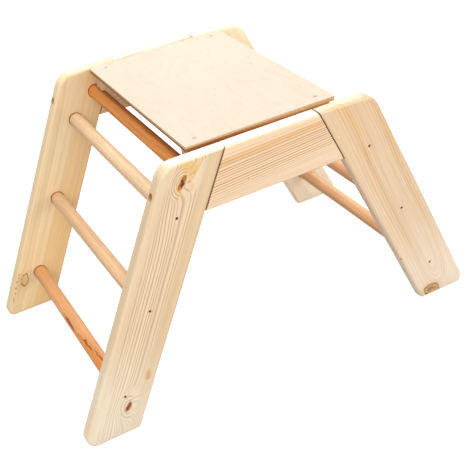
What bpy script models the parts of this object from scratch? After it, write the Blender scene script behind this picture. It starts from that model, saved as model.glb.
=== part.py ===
"""Children's climbing ladder: a low wooden trestle with a rung ladder on both sides and a platform.

Two flat side panels of rounded pine board stand parallel. Each is a beam with a leg leaning against
either end, and eight beech rungs hold the panels apart. The platform is a thin plywood board screwed
to two battens, whose notched ends sit on the two top rungs, so that it lifts straight off.

Metres, +Z up. X runs along the beams, -Y is the near panel and +Y the far one. The origin is on the
floor, midway between the legs and between the panels.
"""

import math

import bmesh
import bpy
from mathutils import Matrix, Vector

MM = 0.001

# Side panels
PANEL_HEIGHT = 500 * MM
PANEL_GAP = 436 * MM
STOCK_THICKNESS = 27 * MM
STOCK_ROUNDING = 7 * MM
LEG_WIDTH = 103 * MM
LEG_LEAN = math.radians(25)
SHOULDER_RADIUS = 38 * MM
TOE_RADIUS = 14 * MM
HEEL_EXTRA_RADIUS = 2 * MM
BEAM_TOP_LENGTH = 179 * MM
BEAM_DEPTH = 106 * MM
BEAM_END_EASE = 2 * MM

# Rungs, counted from the floor up
RUNG_RADIUS = 14 * MM
RUNG_END_CHAMFER = 1.5 * MM
FIRST_RUNG_HEIGHT = 86 * MM
LAST_LEG_RUNG_DROP = 97 * MM
LEG_RUNG_COUNT = 3
TOP_RUNG_DROP = 50 * MM
TOP_RUNG_EDGE_DISTANCE = 25 * MM

# Nails through the legs into the ends of the rungs
NAIL_RADIUS = 1 * MM
NAIL_HEAD_RADIUS = 2 * MM
NAIL_HEAD_THICKNESS = 0.8 * MM
NAIL_SINK = 0.8 * MM
NAIL_BITE = 20 * MM
NAIL_POINT = 3 * MM

# Screws through the legs into the ends of the beams
BEAM_SCREW_DROP = 50 * MM
BEAM_SCREW_RADIUS = 2.8 * MM
BEAM_SCREW_HEAD_RADIUS = 5.4 * MM
BEAM_SCREW_HEAD_HEIGHT = 4 * MM
BEAM_SCREW_DOME_HEIGHT = 2 * MM
BEAM_SCREW_DOME_EASE = 1 * MM
BEAM_SCREW_HEX_RADIUS = 2.9 * MM
BEAM_SCREW_HEX_DEPTH = 2.4 * MM
BEAM_SCREW_BITE = 32 * MM
BEAM_SCREW_POINT = 7 * MM
COUNTERBORE_RADIUS = 6 * MM
COUNTERBORE_DEPTH = 45 * MM
SOCKET_WALL = 1.4 * MM

# Platform board
BOARD_END_OVERHANG = 5.6 * MM
BOARD_SIDE_CLEARANCE = 8 * MM
BOARD_THICKNESS = 9 * MM
BOARD_CORNER_RADIUS = 4 * MM
BOARD_EDGE_EASE = 0.8 * MM
PLATFORM_RISE = 3 * MM

# Battens under the platform board
BATTEN_HEIGHT = 80 * MM
BATTEN_OUTER_INSET = 6.5 * MM
BATTEN_END_INSET = 1.5 * MM
BATTEN_ARRIS_EASE = 1.2 * MM
BATTEN_CORNER_RADIUS = 4 * MM

# Screws down through the board into the battens
BOARD_SCREW_EDGE_DISTANCE = 28 * MM
BOARD_SCREW_RADIUS = 1.8 * MM
BOARD_SCREW_HEAD_RADIUS = 3.6 * MM
BOARD_SCREW_RIM = 0.3 * MM
BOARD_SCREW_BITE = 26 * MM
BOARD_SCREW_POINT = 5 * MM
CROSS_LENGTH = 3.8 * MM
CROSS_WIDTH = 0.9 * MM
CROSS_DEPTH = 1.2 * MM

# Fits
SEAT_GAP = 0.3 * MM
CUT_OVERRUN = 5 * MM
MERGE_DISTANCE = 0.001 * MM

# Facet counts
CORNER_STEPS = 6
ROUNDING_STEPS = 3
RUNG_SIDES = 24
SCREW_SIDES = 16
NAIL_SIDES = 10
HEX_SIDES = 6
CROSS_ARMS = 4
SMOOTH_ANGLE = math.radians(40)

# Places that follow from the sizes
LEAN_SLOPE = math.tan(LEG_LEAN)
LEG_LEVEL_WIDTH = LEG_WIDTH / math.cos(LEG_LEAN)
PANEL_MIDDLE = (PANEL_GAP + STOCK_THICKNESS) / 2
PANEL_OUTER_FACE = PANEL_GAP / 2 + STOCK_THICKNESS
HEEL_RADIUS = STOCK_ROUNDING + HEEL_EXTRA_RADIUS
SCREW_HOLE_RADIUS = BEAM_SCREW_RADIUS + SEAT_GAP
SOCKET_DEPTH = STOCK_THICKNESS / 2 - SCREW_HOLE_RADIUS - SOCKET_WALL
SOCKET_RADIUS = RUNG_RADIUS + SEAT_GAP
RUNG_HALF_LENGTH = PANEL_GAP / 2 + SOCKET_DEPTH - SEAT_GAP
TOP_RUNG_HEIGHT = PANEL_HEIGHT - TOP_RUNG_DROP
BEAM_SCREW_HEIGHT = PANEL_HEIGHT - BEAM_SCREW_DROP
BOARD_TOP = PANEL_HEIGHT + PLATFORM_RISE
BOARD_HALF_WIDTH = PANEL_GAP / 2 - BOARD_SIDE_CLEARANCE
BATTEN_TOP = BOARD_TOP - BOARD_THICKNESS - SEAT_GAP
BATTEN_MIDDLE = BOARD_HALF_WIDTH - BATTEN_OUTER_INSET - STOCK_THICKNESS / 2

SIDES = (("near", -1), ("far", 1))
ENDS = (("left", -1), ("right", 1))


def leg_inner_edge(height):
    """Distance of a leg's inner edge from the middle, at a height over the floor."""
    return BEAM_TOP_LENGTH / 2 + (PANEL_HEIGHT - height) * LEAN_SLOPE


def top_rung_distance():
    """Distance of a top rung's axis from the middle."""
    return leg_inner_edge(TOP_RUNG_HEIGHT) + TOP_RUNG_EDGE_DISTANCE / math.cos(LEG_LEAN)


def board_half_length():
    """Distance of the board's end edges from the middle, a little beyond the top rungs' axes."""
    return top_rung_distance() + BOARD_END_OVERHANG


def board_screw_place(end, side):
    """Place of a board screw along and across the board, near its corner and over a batten's middle."""
    return end * (board_half_length() - BOARD_SCREW_EDGE_DISTANCE), side * BATTEN_MIDDLE


def rung_places():
    """Distance from the middle and height of each rung's axis, from the floor up."""
    places = []
    last_height = PANEL_HEIGHT - LAST_LEG_RUNG_DROP
    rise = (last_height - FIRST_RUNG_HEIGHT) / (LEG_RUNG_COUNT - 1)
    for index in range(LEG_RUNG_COUNT):
        height = FIRST_RUNG_HEIGHT + index * rise
        places.append((leg_inner_edge(height) + LEG_LEVEL_WIDTH / 2, height))
    places.append((top_rung_distance(), TOP_RUNG_HEIGHT))
    return places


def remove_old_objects():
    """Empty the scene."""
    for old_object in list(bpy.data.objects):
        bpy.data.objects.remove(old_object, do_unlink=True)


def make_material(name, colour, roughness, metallic):
    """A plain finish with its colour, roughness and metallic value."""
    material = bpy.data.materials.new(name)
    material.use_nodes = True
    shader = material.node_tree.nodes["Principled BSDF"]
    shader.inputs["Base Color"].default_value = (*colour, 1)
    shader.inputs["Roughness"].default_value = roughness
    shader.inputs["Metallic"].default_value = metallic
    material.diffuse_color = (*colour, 1)
    return material


def make_object(name, shape, material, location=(0, 0, 0), direction=None, parent=None):
    """Turn a finished shape into an object, with its own +Z pointing along the direction."""
    mesh = bpy.data.meshes.new(name)
    shape.to_mesh(mesh)
    shape.free()
    mesh.materials.append(material.copy())
    mesh.materials[0].name = f"{name}_{material.name}"
    mesh.shade_smooth()
    mesh.set_sharp_from_angle(angle=SMOOTH_ANGLE)
    piece = bpy.data.objects.new(name, mesh)
    piece.location = location
    if direction is not None:
        piece.rotation_euler = Vector(direction).to_track_quat("Z", "Y").to_euler()
    if parent is not None:
        piece.parent = parent
    bpy.context.scene.collection.objects.link(piece)
    return piece


def cut_away(piece, name, shape, location=(0, 0, 0), direction=None):
    """Take a shape, placed in the piece's own space, out of the piece."""
    mesh = bpy.data.meshes.new(f"{piece.name}_{name}")
    shape.to_mesh(mesh)
    shape.free()
    cutter = bpy.data.objects.new(f"{piece.name}_{name}", mesh)
    cutter.location = location
    if direction is not None:
        cutter.rotation_euler = Vector(direction).to_track_quat("Z", "Y").to_euler()
    cutter.parent = piece
    cutter.hide_render = True
    cutter.display_type = "WIRE"
    bpy.context.scene.collection.objects.link(cutter)
    cut = piece.modifiers.new(name, "BOOLEAN")
    cut.operation = "DIFFERENCE"
    cut.solver = "EXACT"
    cut.object = cutter


def rounded_corner(before, corner, after, radius):
    """Points of an arc that rounds one corner of an outline, or the corner itself for no radius."""
    if radius == 0:
        return [corner]
    toward_before = (before - corner).normalized()
    toward_after = (after - corner).normalized()
    half_angle = toward_before.angle(toward_after) / 2
    centre_line = (toward_before + toward_after).normalized()
    centre = corner + centre_line * (radius / math.sin(half_angle))
    tangent_length = radius / math.tan(half_angle)
    start = corner + toward_before * tangent_length - centre
    finish = corner + toward_after * tangent_length - centre
    sweep = -start.angle_signed(finish)
    points = []
    for step in range(CORNER_STEPS + 1):
        points.append(centre + Matrix.Rotation(sweep * step / CORNER_STEPS, 2) @ start)
    return points


def rounded_outline(corners):
    """Outline through the corners (across, up, radius), each rounded by its own radius."""
    points = []
    for index, (across, up, radius) in enumerate(corners):
        before = Vector(corners[index - 1][:2])
        after = Vector(corners[(index + 1) % len(corners)][:2])
        points.extend(rounded_corner(before, Vector((across, up)), after, radius))
    return points


def upright_slab(outline, thickness):
    """Extrude an outline in X and Z to a thickness along Y, centred on Y = 0."""
    slab = bmesh.new()
    corners = [slab.verts.new((point.x, -thickness / 2, point.y)) for point in outline]
    face = slab.faces.new(corners)
    swept = bmesh.ops.extrude_face_region(slab, geom=[face])
    moved = [item for item in swept["geom"] if isinstance(item, bmesh.types.BMVert)]
    bmesh.ops.translate(slab, verts=moved, vec=(0, thickness, 0))
    bmesh.ops.recalc_face_normals(slab, faces=slab.faces)
    return slab


def bevel_edges(shape, edges, width, steps):
    """Round edges of a shape by a width, in a number of steps."""
    bmesh.ops.bevel(
        shape,
        geom=edges,
        offset=width,
        offset_type="OFFSET",
        segments=steps,
        profile=0.5,
        affect="EDGES",
        clamp_overlap=False,
        material=-1,
    )


def face_border(shape, axis):
    """Edges round the flat faces whose normals lie along an axis."""
    edges = set()
    for face in shape.faces:
        if abs(face.normal[axis]) > math.cos(SMOOTH_ANGLE / CORNER_STEPS):
            edges.update(face.edges)
    return list(edges)


def turned(profile, sides):
    """Turn a profile of (radius, distance along Z), both ends on the axis, into a closed solid."""
    shape = bmesh.new()
    points = [shape.verts.new((radius, 0, along)) for radius, along in profile]
    lines = [shape.edges.new(pair) for pair in zip(points, points[1:])]
    bmesh.ops.spin(
        shape,
        geom=points + lines,
        cent=(0, 0, 0),
        axis=(0, 0, 1),
        dvec=(0, 0, 0),
        angle=math.tau,
        steps=sides,
        use_merge=True,
        use_duplicate=False,
    )
    bmesh.ops.remove_doubles(shape, verts=shape.verts, dist=MERGE_DISTANCE)
    bmesh.ops.recalc_face_normals(shape, faces=shape.faces)
    return shape


def prism(outline, start, end):
    """Extrude an outline in X and Y from one distance along Z to another."""
    shape = bmesh.new()
    face = shape.faces.new([shape.verts.new((point.x, point.y, start)) for point in outline])
    swept = bmesh.ops.extrude_face_region(shape, geom=[face])
    moved = [item for item in swept["geom"] if isinstance(item, bmesh.types.BMVert)]
    bmesh.ops.translate(shape, verts=moved, vec=(0, 0, end - start))
    bmesh.ops.recalc_face_normals(shape, faces=shape.faces)
    return shape


def placed(shape, location, direction):
    """Turn a shape's own +Z to a direction and move it to a location."""
    turn = Vector(direction).to_track_quat("Z", "Y").to_matrix().to_4x4()
    bmesh.ops.transform(shape, matrix=Matrix.Translation(location) @ turn, verts=shape.verts)
    return shape


def merged(shapes):
    """Gather shapes that don't touch into one."""
    gathered = bmesh.new()
    for shape in shapes:
        mesh = bpy.data.meshes.new("gathered_shape")
        shape.to_mesh(mesh)
        shape.free()
        gathered.from_mesh(mesh)
        bpy.data.meshes.remove(mesh)
    return gathered


def mirrored(shape, end, side):
    """Mirror a shape of the near left across X for the right end and across Y for the far side."""
    bmesh.ops.scale(shape, vec=(-end, -side, 1), verts=shape.verts)
    if end * side < 0:
        bmesh.ops.reverse_faces(shape, faces=shape.faces)
    return shape


def leg_shape():
    """The near left leg, about the top end of its inner edge."""
    foot_inner = -PANEL_HEIGHT * LEAN_SLOPE
    outline = rounded_outline(
        [
            (0, 0, 0),
            (-LEG_LEVEL_WIDTH, 0, SHOULDER_RADIUS),
            (foot_inner - LEG_LEVEL_WIDTH, -PANEL_HEIGHT, TOE_RADIUS),
            (foot_inner, -PANEL_HEIGHT, HEEL_RADIUS),
        ]
    )
    leg = upright_slab(outline, STOCK_THICKNESS)
    bevel_edges(leg, face_border(leg, 1), STOCK_ROUNDING, ROUNDING_STEPS)
    return leg


def leg_sockets():
    """Blind sockets for the rungs in the near left leg's inner face."""
    profile = (
        (0, 0),
        (SOCKET_RADIUS, 0),
        (SOCKET_RADIUS, SOCKET_DEPTH + CUT_OVERRUN),
        (0, SOCKET_DEPTH + CUT_OVERRUN),
    )
    sockets = []
    bottom = STOCK_THICKNESS / 2 - SOCKET_DEPTH
    for distance, height in rung_places():
        place = (BEAM_TOP_LENGTH / 2 - distance, bottom, height - PANEL_HEIGHT)
        sockets.append(placed(turned(profile, RUNG_SIDES), place, (0, 1, 0)))
    return merged(sockets)


def nail_hole():
    """Sunk mouth and shank hole of a nail, from the leg's outer face into the rung's socket."""
    shank = NAIL_RADIUS + SEAT_GAP
    mouth = NAIL_HEAD_RADIUS + SEAT_GAP
    mouth_depth = NAIL_SINK + NAIL_HEAD_THICKNESS + SEAT_GAP
    depth = STOCK_THICKNESS - SOCKET_DEPTH + CUT_OVERRUN
    profile = (
        (0, -CUT_OVERRUN),
        (mouth, -CUT_OVERRUN),
        (mouth, mouth_depth),
        (shank, mouth_depth),
        (shank, depth),
        (0, depth),
    )
    return turned(profile, NAIL_SIDES)


def beam_screw_hole():
    """Counterbore and clearance hole of a beam screw, right across the leg."""
    profile = (
        (0, -CUT_OVERRUN),
        (COUNTERBORE_RADIUS, -CUT_OVERRUN),
        (COUNTERBORE_RADIUS, COUNTERBORE_DEPTH),
        (SCREW_HOLE_RADIUS, COUNTERBORE_DEPTH),
        (SCREW_HOLE_RADIUS, LEG_LEVEL_WIDTH + CUT_OVERRUN),
        (0, LEG_LEVEL_WIDTH + CUT_OVERRUN),
    )
    return turned(profile, SCREW_SIDES)


def leg_fastener_holes():
    """All nail holes and the beam screw's hole of the near left leg."""
    holes = []
    for distance, height in rung_places()[:LEG_RUNG_COUNT]:
        place = (BEAM_TOP_LENGTH / 2 - distance, -STOCK_THICKNESS / 2, height - PANEL_HEIGHT)
        holes.append(placed(nail_hole(), place, (0, 1, 0)))
    outer_edge = BEAM_TOP_LENGTH / 2 - leg_inner_edge(BEAM_SCREW_HEIGHT) - LEG_LEVEL_WIDTH
    holes.append(placed(beam_screw_hole(), (outer_edge, 0, -BEAM_SCREW_DROP), (1, 0, 0)))
    return merged(holes)


def build_legs(pine):
    """Four legs, mirrored from the near left one."""
    for side_name, side in SIDES:
        for end_name, end in ENDS:
            place = (end * BEAM_TOP_LENGTH / 2, side * PANEL_MIDDLE, PANEL_HEIGHT)
            leg = make_object(f"{side_name}_{end_name}_leg", mirrored(leg_shape(), end, side), pine, place)
            cut_away(leg, "sockets", mirrored(leg_sockets(), end, side))
            cut_away(leg, "fastener_holes", mirrored(leg_fastener_holes(), end, side))


def beam_shape():
    """A beam about the middle of its top, its ends cut to lie against the legs' inner edges."""
    half_top = BEAM_TOP_LENGTH / 2 - SEAT_GAP / math.cos(LEG_LEAN)
    half_bottom = half_top + BEAM_DEPTH * LEAN_SLOPE
    corners = [
        (-half_top, 0, 0),
        (-half_bottom, -BEAM_DEPTH, 0),
        (half_bottom, -BEAM_DEPTH, 0),
        (half_top, 0, 0),
    ]
    beam = upright_slab(rounded_outline(corners), STOCK_THICKNESS)
    long_edges = [edge for edge in face_border(beam, 1) if edge.verts[0].co.z == edge.verts[1].co.z]
    bevel_edges(beam, long_edges, STOCK_ROUNDING, ROUNDING_STEPS)
    end_edges = set()
    for face in beam.faces:
        points_level = abs(face.normal.y) < math.sin(SMOOTH_ANGLE / CORNER_STEPS)
        if points_level and abs(face.normal.x) > abs(face.normal.z):
            end_edges.update(face.edges)
    bevel_edges(beam, list(end_edges), BEAM_END_EASE, 1)
    return beam


def beam_pilot_hole():
    """Hole of a beam screw in the end of a beam, starting beyond the end face."""
    point_start = BEAM_SCREW_BITE - BEAM_SCREW_POINT
    profile = (
        (0, -CUT_OVERRUN),
        (SCREW_HOLE_RADIUS, -CUT_OVERRUN),
        (SCREW_HOLE_RADIUS, point_start),
        (0, BEAM_SCREW_BITE + SEAT_GAP * BEAM_SCREW_POINT / BEAM_SCREW_RADIUS),
    )
    return turned(profile, SCREW_SIDES)


def build_beams(pine):
    """The two top beams, bored at both ends for their screws."""
    edge = leg_inner_edge(BEAM_SCREW_HEIGHT)
    for side_name, side in SIDES:
        place = (0, side * PANEL_MIDDLE, PANEL_HEIGHT)
        beam = make_object(f"{side_name}_beam", beam_shape(), pine, place)
        holes = []
        for _, end in ENDS:
            holes.append(placed(beam_pilot_hole(), (end * edge, 0, -BEAM_SCREW_DROP), (-end, 0, 0)))
        cut_away(beam, "pilot_holes", merged(holes))


def rung_shape(nailed):
    """A chamfered rod along Z, with a blind hole for a nail in each end where it is nailed."""
    rim = RUNG_RADIUS - RUNG_END_CHAMFER
    shoulder = RUNG_HALF_LENGTH - RUNG_END_CHAMFER
    half = [(RUNG_RADIUS, shoulder), (rim, RUNG_HALF_LENGTH)]
    if nailed:
        hole = NAIL_RADIUS + SEAT_GAP
        nail_reach = NAIL_BITE + SEAT_GAP * NAIL_POINT / NAIL_RADIUS
        half.append((hole, RUNG_HALF_LENGTH))
        half.append((hole, RUNG_HALF_LENGTH - NAIL_BITE + NAIL_POINT))
        half.append((0, RUNG_HALF_LENGTH - nail_reach))
    else:
        half.append((0, RUNG_HALF_LENGTH))
    mirrored_half = [(radius, -along) for radius, along in reversed(half)]
    return turned(mirrored_half + half, RUNG_SIDES)


def build_rungs(beech):
    """Four rungs in each ladder, the three lower ones nailed through the legs."""
    for end_name, end in ENDS:
        for index, (distance, height) in enumerate(rung_places()):
            name = f"{end_name}_rung_{index + 1}"
            place = (end * distance, 0, height)
            make_object(name, rung_shape(index < LEG_RUNG_COUNT), beech, place, (0, 1, 0))


def nail_shape():
    """A round wire nail along +Z, from the top of its head to its point."""
    tip = STOCK_THICKNESS - SOCKET_DEPTH - NAIL_SINK + SEAT_GAP + NAIL_BITE
    profile = (
        (0, 0),
        (NAIL_HEAD_RADIUS, 0),
        (NAIL_HEAD_RADIUS, NAIL_HEAD_THICKNESS),
        (NAIL_RADIUS, NAIL_HEAD_THICKNESS),
        (NAIL_RADIUS, tip - NAIL_POINT),
        (0, tip),
    )
    return turned(profile, NAIL_SIDES)


def build_nails(steel):
    """A nail through each leg into each lower rung, its head sunk below the wood."""
    for side_name, side in SIDES:
        for end_name, end in ENDS:
            for index, (distance, height) in enumerate(rung_places()[:LEG_RUNG_COUNT]):
                place = (end * distance, side * (PANEL_OUTER_FACE - NAIL_SINK), height)
                name = f"{side_name}_{end_name}_nail_{index + 1}"
                make_object(name, nail_shape(), steel, place, (0, -side, 0))


def beam_screw_shape():
    """A wood screw along +Z, from the top of its round head to its point."""
    seat = BEAM_SCREW_HEAD_HEIGHT
    tip = seat + LEG_LEVEL_WIDTH - COUNTERBORE_DEPTH + BEAM_SCREW_BITE + SEAT_GAP
    profile = (
        (0, 0),
        (BEAM_SCREW_HEAD_RADIUS - BEAM_SCREW_DOME_EASE, 0),
        (BEAM_SCREW_HEAD_RADIUS, BEAM_SCREW_DOME_HEIGHT),
        (BEAM_SCREW_HEAD_RADIUS, seat),
        (BEAM_SCREW_RADIUS, seat),
        (BEAM_SCREW_RADIUS, tip - BEAM_SCREW_POINT),
        (0, tip),
    )
    return turned(profile, SCREW_SIDES)


def hexagon():
    """Outline of the hexagonal drive recess."""
    corners = []
    for index in range(HEX_SIDES):
        turn = math.tau * index / HEX_SIDES
        corners.append(Vector((math.cos(turn), math.sin(turn))) * BEAM_SCREW_HEX_RADIUS)
    return corners


def build_beam_screws(steel):
    """Level screws, deep in the legs' counterbores, into the ends of the beams."""
    head_depth = COUNTERBORE_DEPTH - BEAM_SCREW_HEAD_HEIGHT - SEAT_GAP
    distance = leg_inner_edge(BEAM_SCREW_HEIGHT) + LEG_LEVEL_WIDTH - head_depth
    for side_name, side in SIDES:
        for end_name, end in ENDS:
            place = (end * distance, side * PANEL_MIDDLE, BEAM_SCREW_HEIGHT)
            name = f"{side_name}_{end_name}_beam_screw"
            screw = make_object(name, beam_screw_shape(), steel, place, (-end, 0, 0))
            cut_away(screw, "hex_recess", prism(hexagon(), -CUT_OVERRUN, BEAM_SCREW_HEX_DEPTH))


def build_platform_seat():
    """The point on the platform's lifting axis, midway between the top rungs."""
    seat = bpy.data.objects.new("platform_seat", None)
    seat.location = (0, 0, TOP_RUNG_HEIGHT)
    bpy.context.scene.collection.objects.link(seat)
    return seat


def board_shape():
    """The platform board about the middle of its top, with rounded corners and eased edges."""
    half_length = board_half_length()
    corners = [
        (-half_length, -BOARD_HALF_WIDTH, BOARD_CORNER_RADIUS),
        (half_length, -BOARD_HALF_WIDTH, BOARD_CORNER_RADIUS),
        (half_length, BOARD_HALF_WIDTH, BOARD_CORNER_RADIUS),
        (-half_length, BOARD_HALF_WIDTH, BOARD_CORNER_RADIUS),
    ]
    board = prism(rounded_outline(corners), -BOARD_THICKNESS, 0)
    bevel_edges(board, face_border(board, 2), BOARD_EDGE_EASE, 1)
    return board


def countersunk_hole():
    """Countersink and shank hole through the board, along +Z from its top."""
    mouth = BOARD_SCREW_HEAD_RADIUS + SEAT_GAP
    shank = BOARD_SCREW_RADIUS + SEAT_GAP
    rim = BOARD_SCREW_RIM + SEAT_GAP
    profile = (
        (0, -CUT_OVERRUN),
        (mouth, -CUT_OVERRUN),
        (mouth, rim),
        (shank, rim + mouth - shank),
        (shank, BOARD_THICKNESS + CUT_OVERRUN),
        (0, BOARD_THICKNESS + CUT_OVERRUN),
    )
    return turned(profile, SCREW_SIDES)


def build_board(plywood, seat):
    """The plywood board with a countersunk hole near each corner."""
    place = (0, 0, BOARD_TOP - TOP_RUNG_HEIGHT)
    board = make_object("platform_board", board_shape(), plywood, place, parent=seat)
    holes = []
    for _, side in SIDES:
        for _, end in ENDS:
            along, across = board_screw_place(end, side)
            holes.append(placed(countersunk_hole(), (along, across, 0), (0, 0, -1)))
    cut_away(board, "screw_holes", merged(holes))


def batten_outline():
    """Outline of a batten in X and Z, about its middle at the height of the top rungs."""
    rung_distance = top_rung_distance()
    notch_radius = RUNG_RADIUS + SEAT_GAP
    top = BATTEN_TOP - TOP_RUNG_HEIGHT
    bottom = top - BATTEN_HEIGHT
    end = rung_distance - BATTEN_END_INSET
    waist = rung_distance - notch_radius
    start_angle = math.asin(BATTEN_END_INSET / notch_radius)
    middle = Vector((0, bottom))
    corner = Vector((waist, bottom))
    right = rounded_corner(middle, corner, Vector((waist, 0)), BATTEN_CORNER_RADIUS)
    for step in range(CORNER_STEPS + 1):
        angle = (math.pi / 2 - start_angle) * step / CORNER_STEPS
        across = rung_distance - notch_radius * math.cos(angle)
        right.append(Vector((across, notch_radius * math.sin(angle))))
    right.append(Vector((end, top)))
    left = [Vector((-point.x, point.y)) for point in reversed(right)]
    return right + left


def build_battens(pine, seat):
    """Two upright battens under the board, whose notched ends sit on the top rungs."""
    bore = BOARD_SCREW_RADIUS + SEAT_GAP
    reach = BOARD_SCREW_BITE + SEAT_GAP * BOARD_SCREW_POINT / BOARD_SCREW_RADIUS
    profile = (
        (0, -CUT_OVERRUN),
        (bore, -CUT_OVERRUN),
        (bore, BOARD_SCREW_BITE - BOARD_SCREW_POINT),
        (0, reach),
    )
    for side_name, side in SIDES:
        shape = upright_slab(batten_outline(), STOCK_THICKNESS)
        bevel_edges(shape, face_border(shape, 1), BATTEN_ARRIS_EASE, 1)
        place = (0, side * BATTEN_MIDDLE, 0)
        batten = make_object(f"{side_name}_platform_batten", shape, pine, place, parent=seat)
        holes = []
        for _, end in ENDS:
            along, _ = board_screw_place(end, side)
            mouth = (along, 0, BATTEN_TOP - TOP_RUNG_HEIGHT)
            holes.append(placed(turned(profile, SCREW_SIDES), mouth, (0, 0, -1)))
        cut_away(batten, "screw_holes", merged(holes))


def board_screw_shape():
    """A countersunk screw along +Z, from the top of its head to its point."""
    tip = BOARD_THICKNESS + SEAT_GAP + BOARD_SCREW_BITE
    profile = (
        (0, 0),
        (BOARD_SCREW_HEAD_RADIUS, 0),
        (BOARD_SCREW_HEAD_RADIUS, BOARD_SCREW_RIM),
        (BOARD_SCREW_RADIUS, BOARD_SCREW_RIM + BOARD_SCREW_HEAD_RADIUS - BOARD_SCREW_RADIUS),
        (BOARD_SCREW_RADIUS, tip - BOARD_SCREW_POINT),
        (0, tip),
    )
    return turned(profile, SCREW_SIDES)


def cross():
    """Outline of the cross-shaped drive recess."""
    arm = CROSS_LENGTH / 2
    half = CROSS_WIDTH / 2
    quarter = (Vector((arm, -half)), Vector((arm, half)), Vector((half, half)))
    points = []
    for index in range(CROSS_ARMS):
        turn = Matrix.Rotation(math.tau * index / CROSS_ARMS, 2)
        points.extend(turn @ point for point in quarter)
    return points


def build_board_screws(steel, seat):
    """Four screws, flush in the board, that hold it to the battens."""
    for side_name, side in SIDES:
        for end_name, end in ENDS:
            place = (*board_screw_place(end, side), BOARD_TOP - TOP_RUNG_HEIGHT)
            name = f"{side_name}_{end_name}_board_screw"
            screw = make_object(name, board_screw_shape(), steel, place, (0, 0, -1), seat)
            cut_away(screw, "cross_recess", prism(cross(), -CUT_OVERRUN, CROSS_DEPTH))


def main():
    """Build the whole climbing ladder."""
    remove_old_objects()
    pine = make_material("pine", (0.86, 0.68, 0.44), 0.5, 0)
    beech = make_material("beech", (0.84, 0.58, 0.36), 0.45, 0)
    plywood = make_material("birch_plywood", (0.90, 0.79, 0.62), 0.5, 0)
    steel = make_material("steel", (0.30, 0.28, 0.26), 0.4, 1)
    build_legs(pine)
    build_beams(pine)
    build_rungs(beech)
    build_nails(steel)
    build_beam_screws(steel)
    seat = build_platform_seat()
    build_board(plywood, seat)
    build_battens(pine, seat)
    build_board_screws(steel, seat)


main()
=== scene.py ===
"""Finished look of a children's climbing ladder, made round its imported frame.

Every piece of wood and steel is modelled again in the place of its plain solid, with finer roundings,
eased hole rims and chamfers. Each pine board has a grain of its own, cut from a log with growth rings
and knots, and so have the beech rungs and the birch plywood platform.

The file is laid out as an add-on: sizes and colours are properties, each group of pieces is an operator,
and a panel in the sidebar of the 3D view lists them.
"""

import inspect
import math
from dataclasses import dataclass
from types import SimpleNamespace

import bmesh
import bpy
from mathutils import Matrix, Vector


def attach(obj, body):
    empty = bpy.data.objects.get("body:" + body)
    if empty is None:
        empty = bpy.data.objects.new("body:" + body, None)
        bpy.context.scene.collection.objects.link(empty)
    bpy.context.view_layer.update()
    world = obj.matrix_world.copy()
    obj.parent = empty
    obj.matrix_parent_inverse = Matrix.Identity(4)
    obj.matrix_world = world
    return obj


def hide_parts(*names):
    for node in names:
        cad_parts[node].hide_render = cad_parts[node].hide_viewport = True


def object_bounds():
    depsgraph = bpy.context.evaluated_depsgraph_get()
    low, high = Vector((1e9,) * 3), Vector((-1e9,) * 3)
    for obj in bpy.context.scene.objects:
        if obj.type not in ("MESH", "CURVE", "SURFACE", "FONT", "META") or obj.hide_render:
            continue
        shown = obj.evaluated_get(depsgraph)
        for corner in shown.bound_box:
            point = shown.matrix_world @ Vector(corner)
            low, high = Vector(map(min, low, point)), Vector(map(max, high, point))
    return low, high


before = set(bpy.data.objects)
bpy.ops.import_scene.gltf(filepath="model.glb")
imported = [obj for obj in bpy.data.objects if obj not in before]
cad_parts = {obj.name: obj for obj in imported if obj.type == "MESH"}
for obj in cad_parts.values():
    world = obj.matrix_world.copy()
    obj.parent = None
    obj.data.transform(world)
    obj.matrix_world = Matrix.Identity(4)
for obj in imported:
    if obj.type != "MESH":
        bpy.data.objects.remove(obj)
cad_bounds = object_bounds()

bl_info = {
    "name": "Climbing Ladder",
    "version": (1, 0, 0),
    "blender": (4, 5, 0),
    "location": "3D View > Sidebar > Ladder",
    "description": "Builds a wooden climbing ladder with a lift-off platform",
    "category": "Add Mesh",
}

MM = 0.001

# Side panels
PANEL_HEIGHT = 500 * MM
PANEL_GAP = 436 * MM
STOCK_THICKNESS = 27 * MM
LEG_WIDTH = 103 * MM
LEG_LEAN = math.radians(25)
SHOULDER_RADIUS = 38 * MM
TOE_RADIUS = 14.15 * MM
NEAR_LEFT_TOE_RADIUS = 21 * MM
HEEL_RADIUS = 9 * MM
BEAM_TOP_LENGTH = 179 * MM
BEAM_DEPTH = 106 * MM

# Rungs and their sockets
RUNG_RADIUS = 14 * MM
FIRST_RUNG_HEIGHT = 86 * MM
LAST_LEG_RUNG_DROP = 97 * MM
LEG_RUNG_COUNT = 3
TOP_RUNG_DROP = 50 * MM
TOP_RUNG_EDGE_DISTANCE = 25 * MM
SOCKET_DEPTH = 9 * MM

# Nails
NAIL_RADIUS = 1 * MM
NAIL_HEAD_RADIUS = 2 * MM
NAIL_HEAD_THICKNESS = 0.8 * MM
NAIL_SINK = 0.8 * MM
NAIL_BITE = 20 * MM
NAIL_POINT = 3 * MM

# Screws of the beams
BEAM_SCREW_DROP = 50 * MM
BEAM_SCREW_RADIUS = 2.8 * MM
BEAM_SCREW_HEAD_RADIUS = 5.4 * MM
BEAM_SCREW_HEAD_HEIGHT = 4 * MM
BEAM_SCREW_DOME_HEIGHT = 2 * MM
BEAM_SCREW_HEX_RADIUS = 2.9 * MM
BEAM_SCREW_HEX_DEPTH = 2.4 * MM
BEAM_SCREW_BITE = 32 * MM
BEAM_SCREW_POINT = 7 * MM
COUNTERBORE_RADIUS = 6 * MM
COUNTERBORE_DEPTH = 45 * MM

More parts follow.
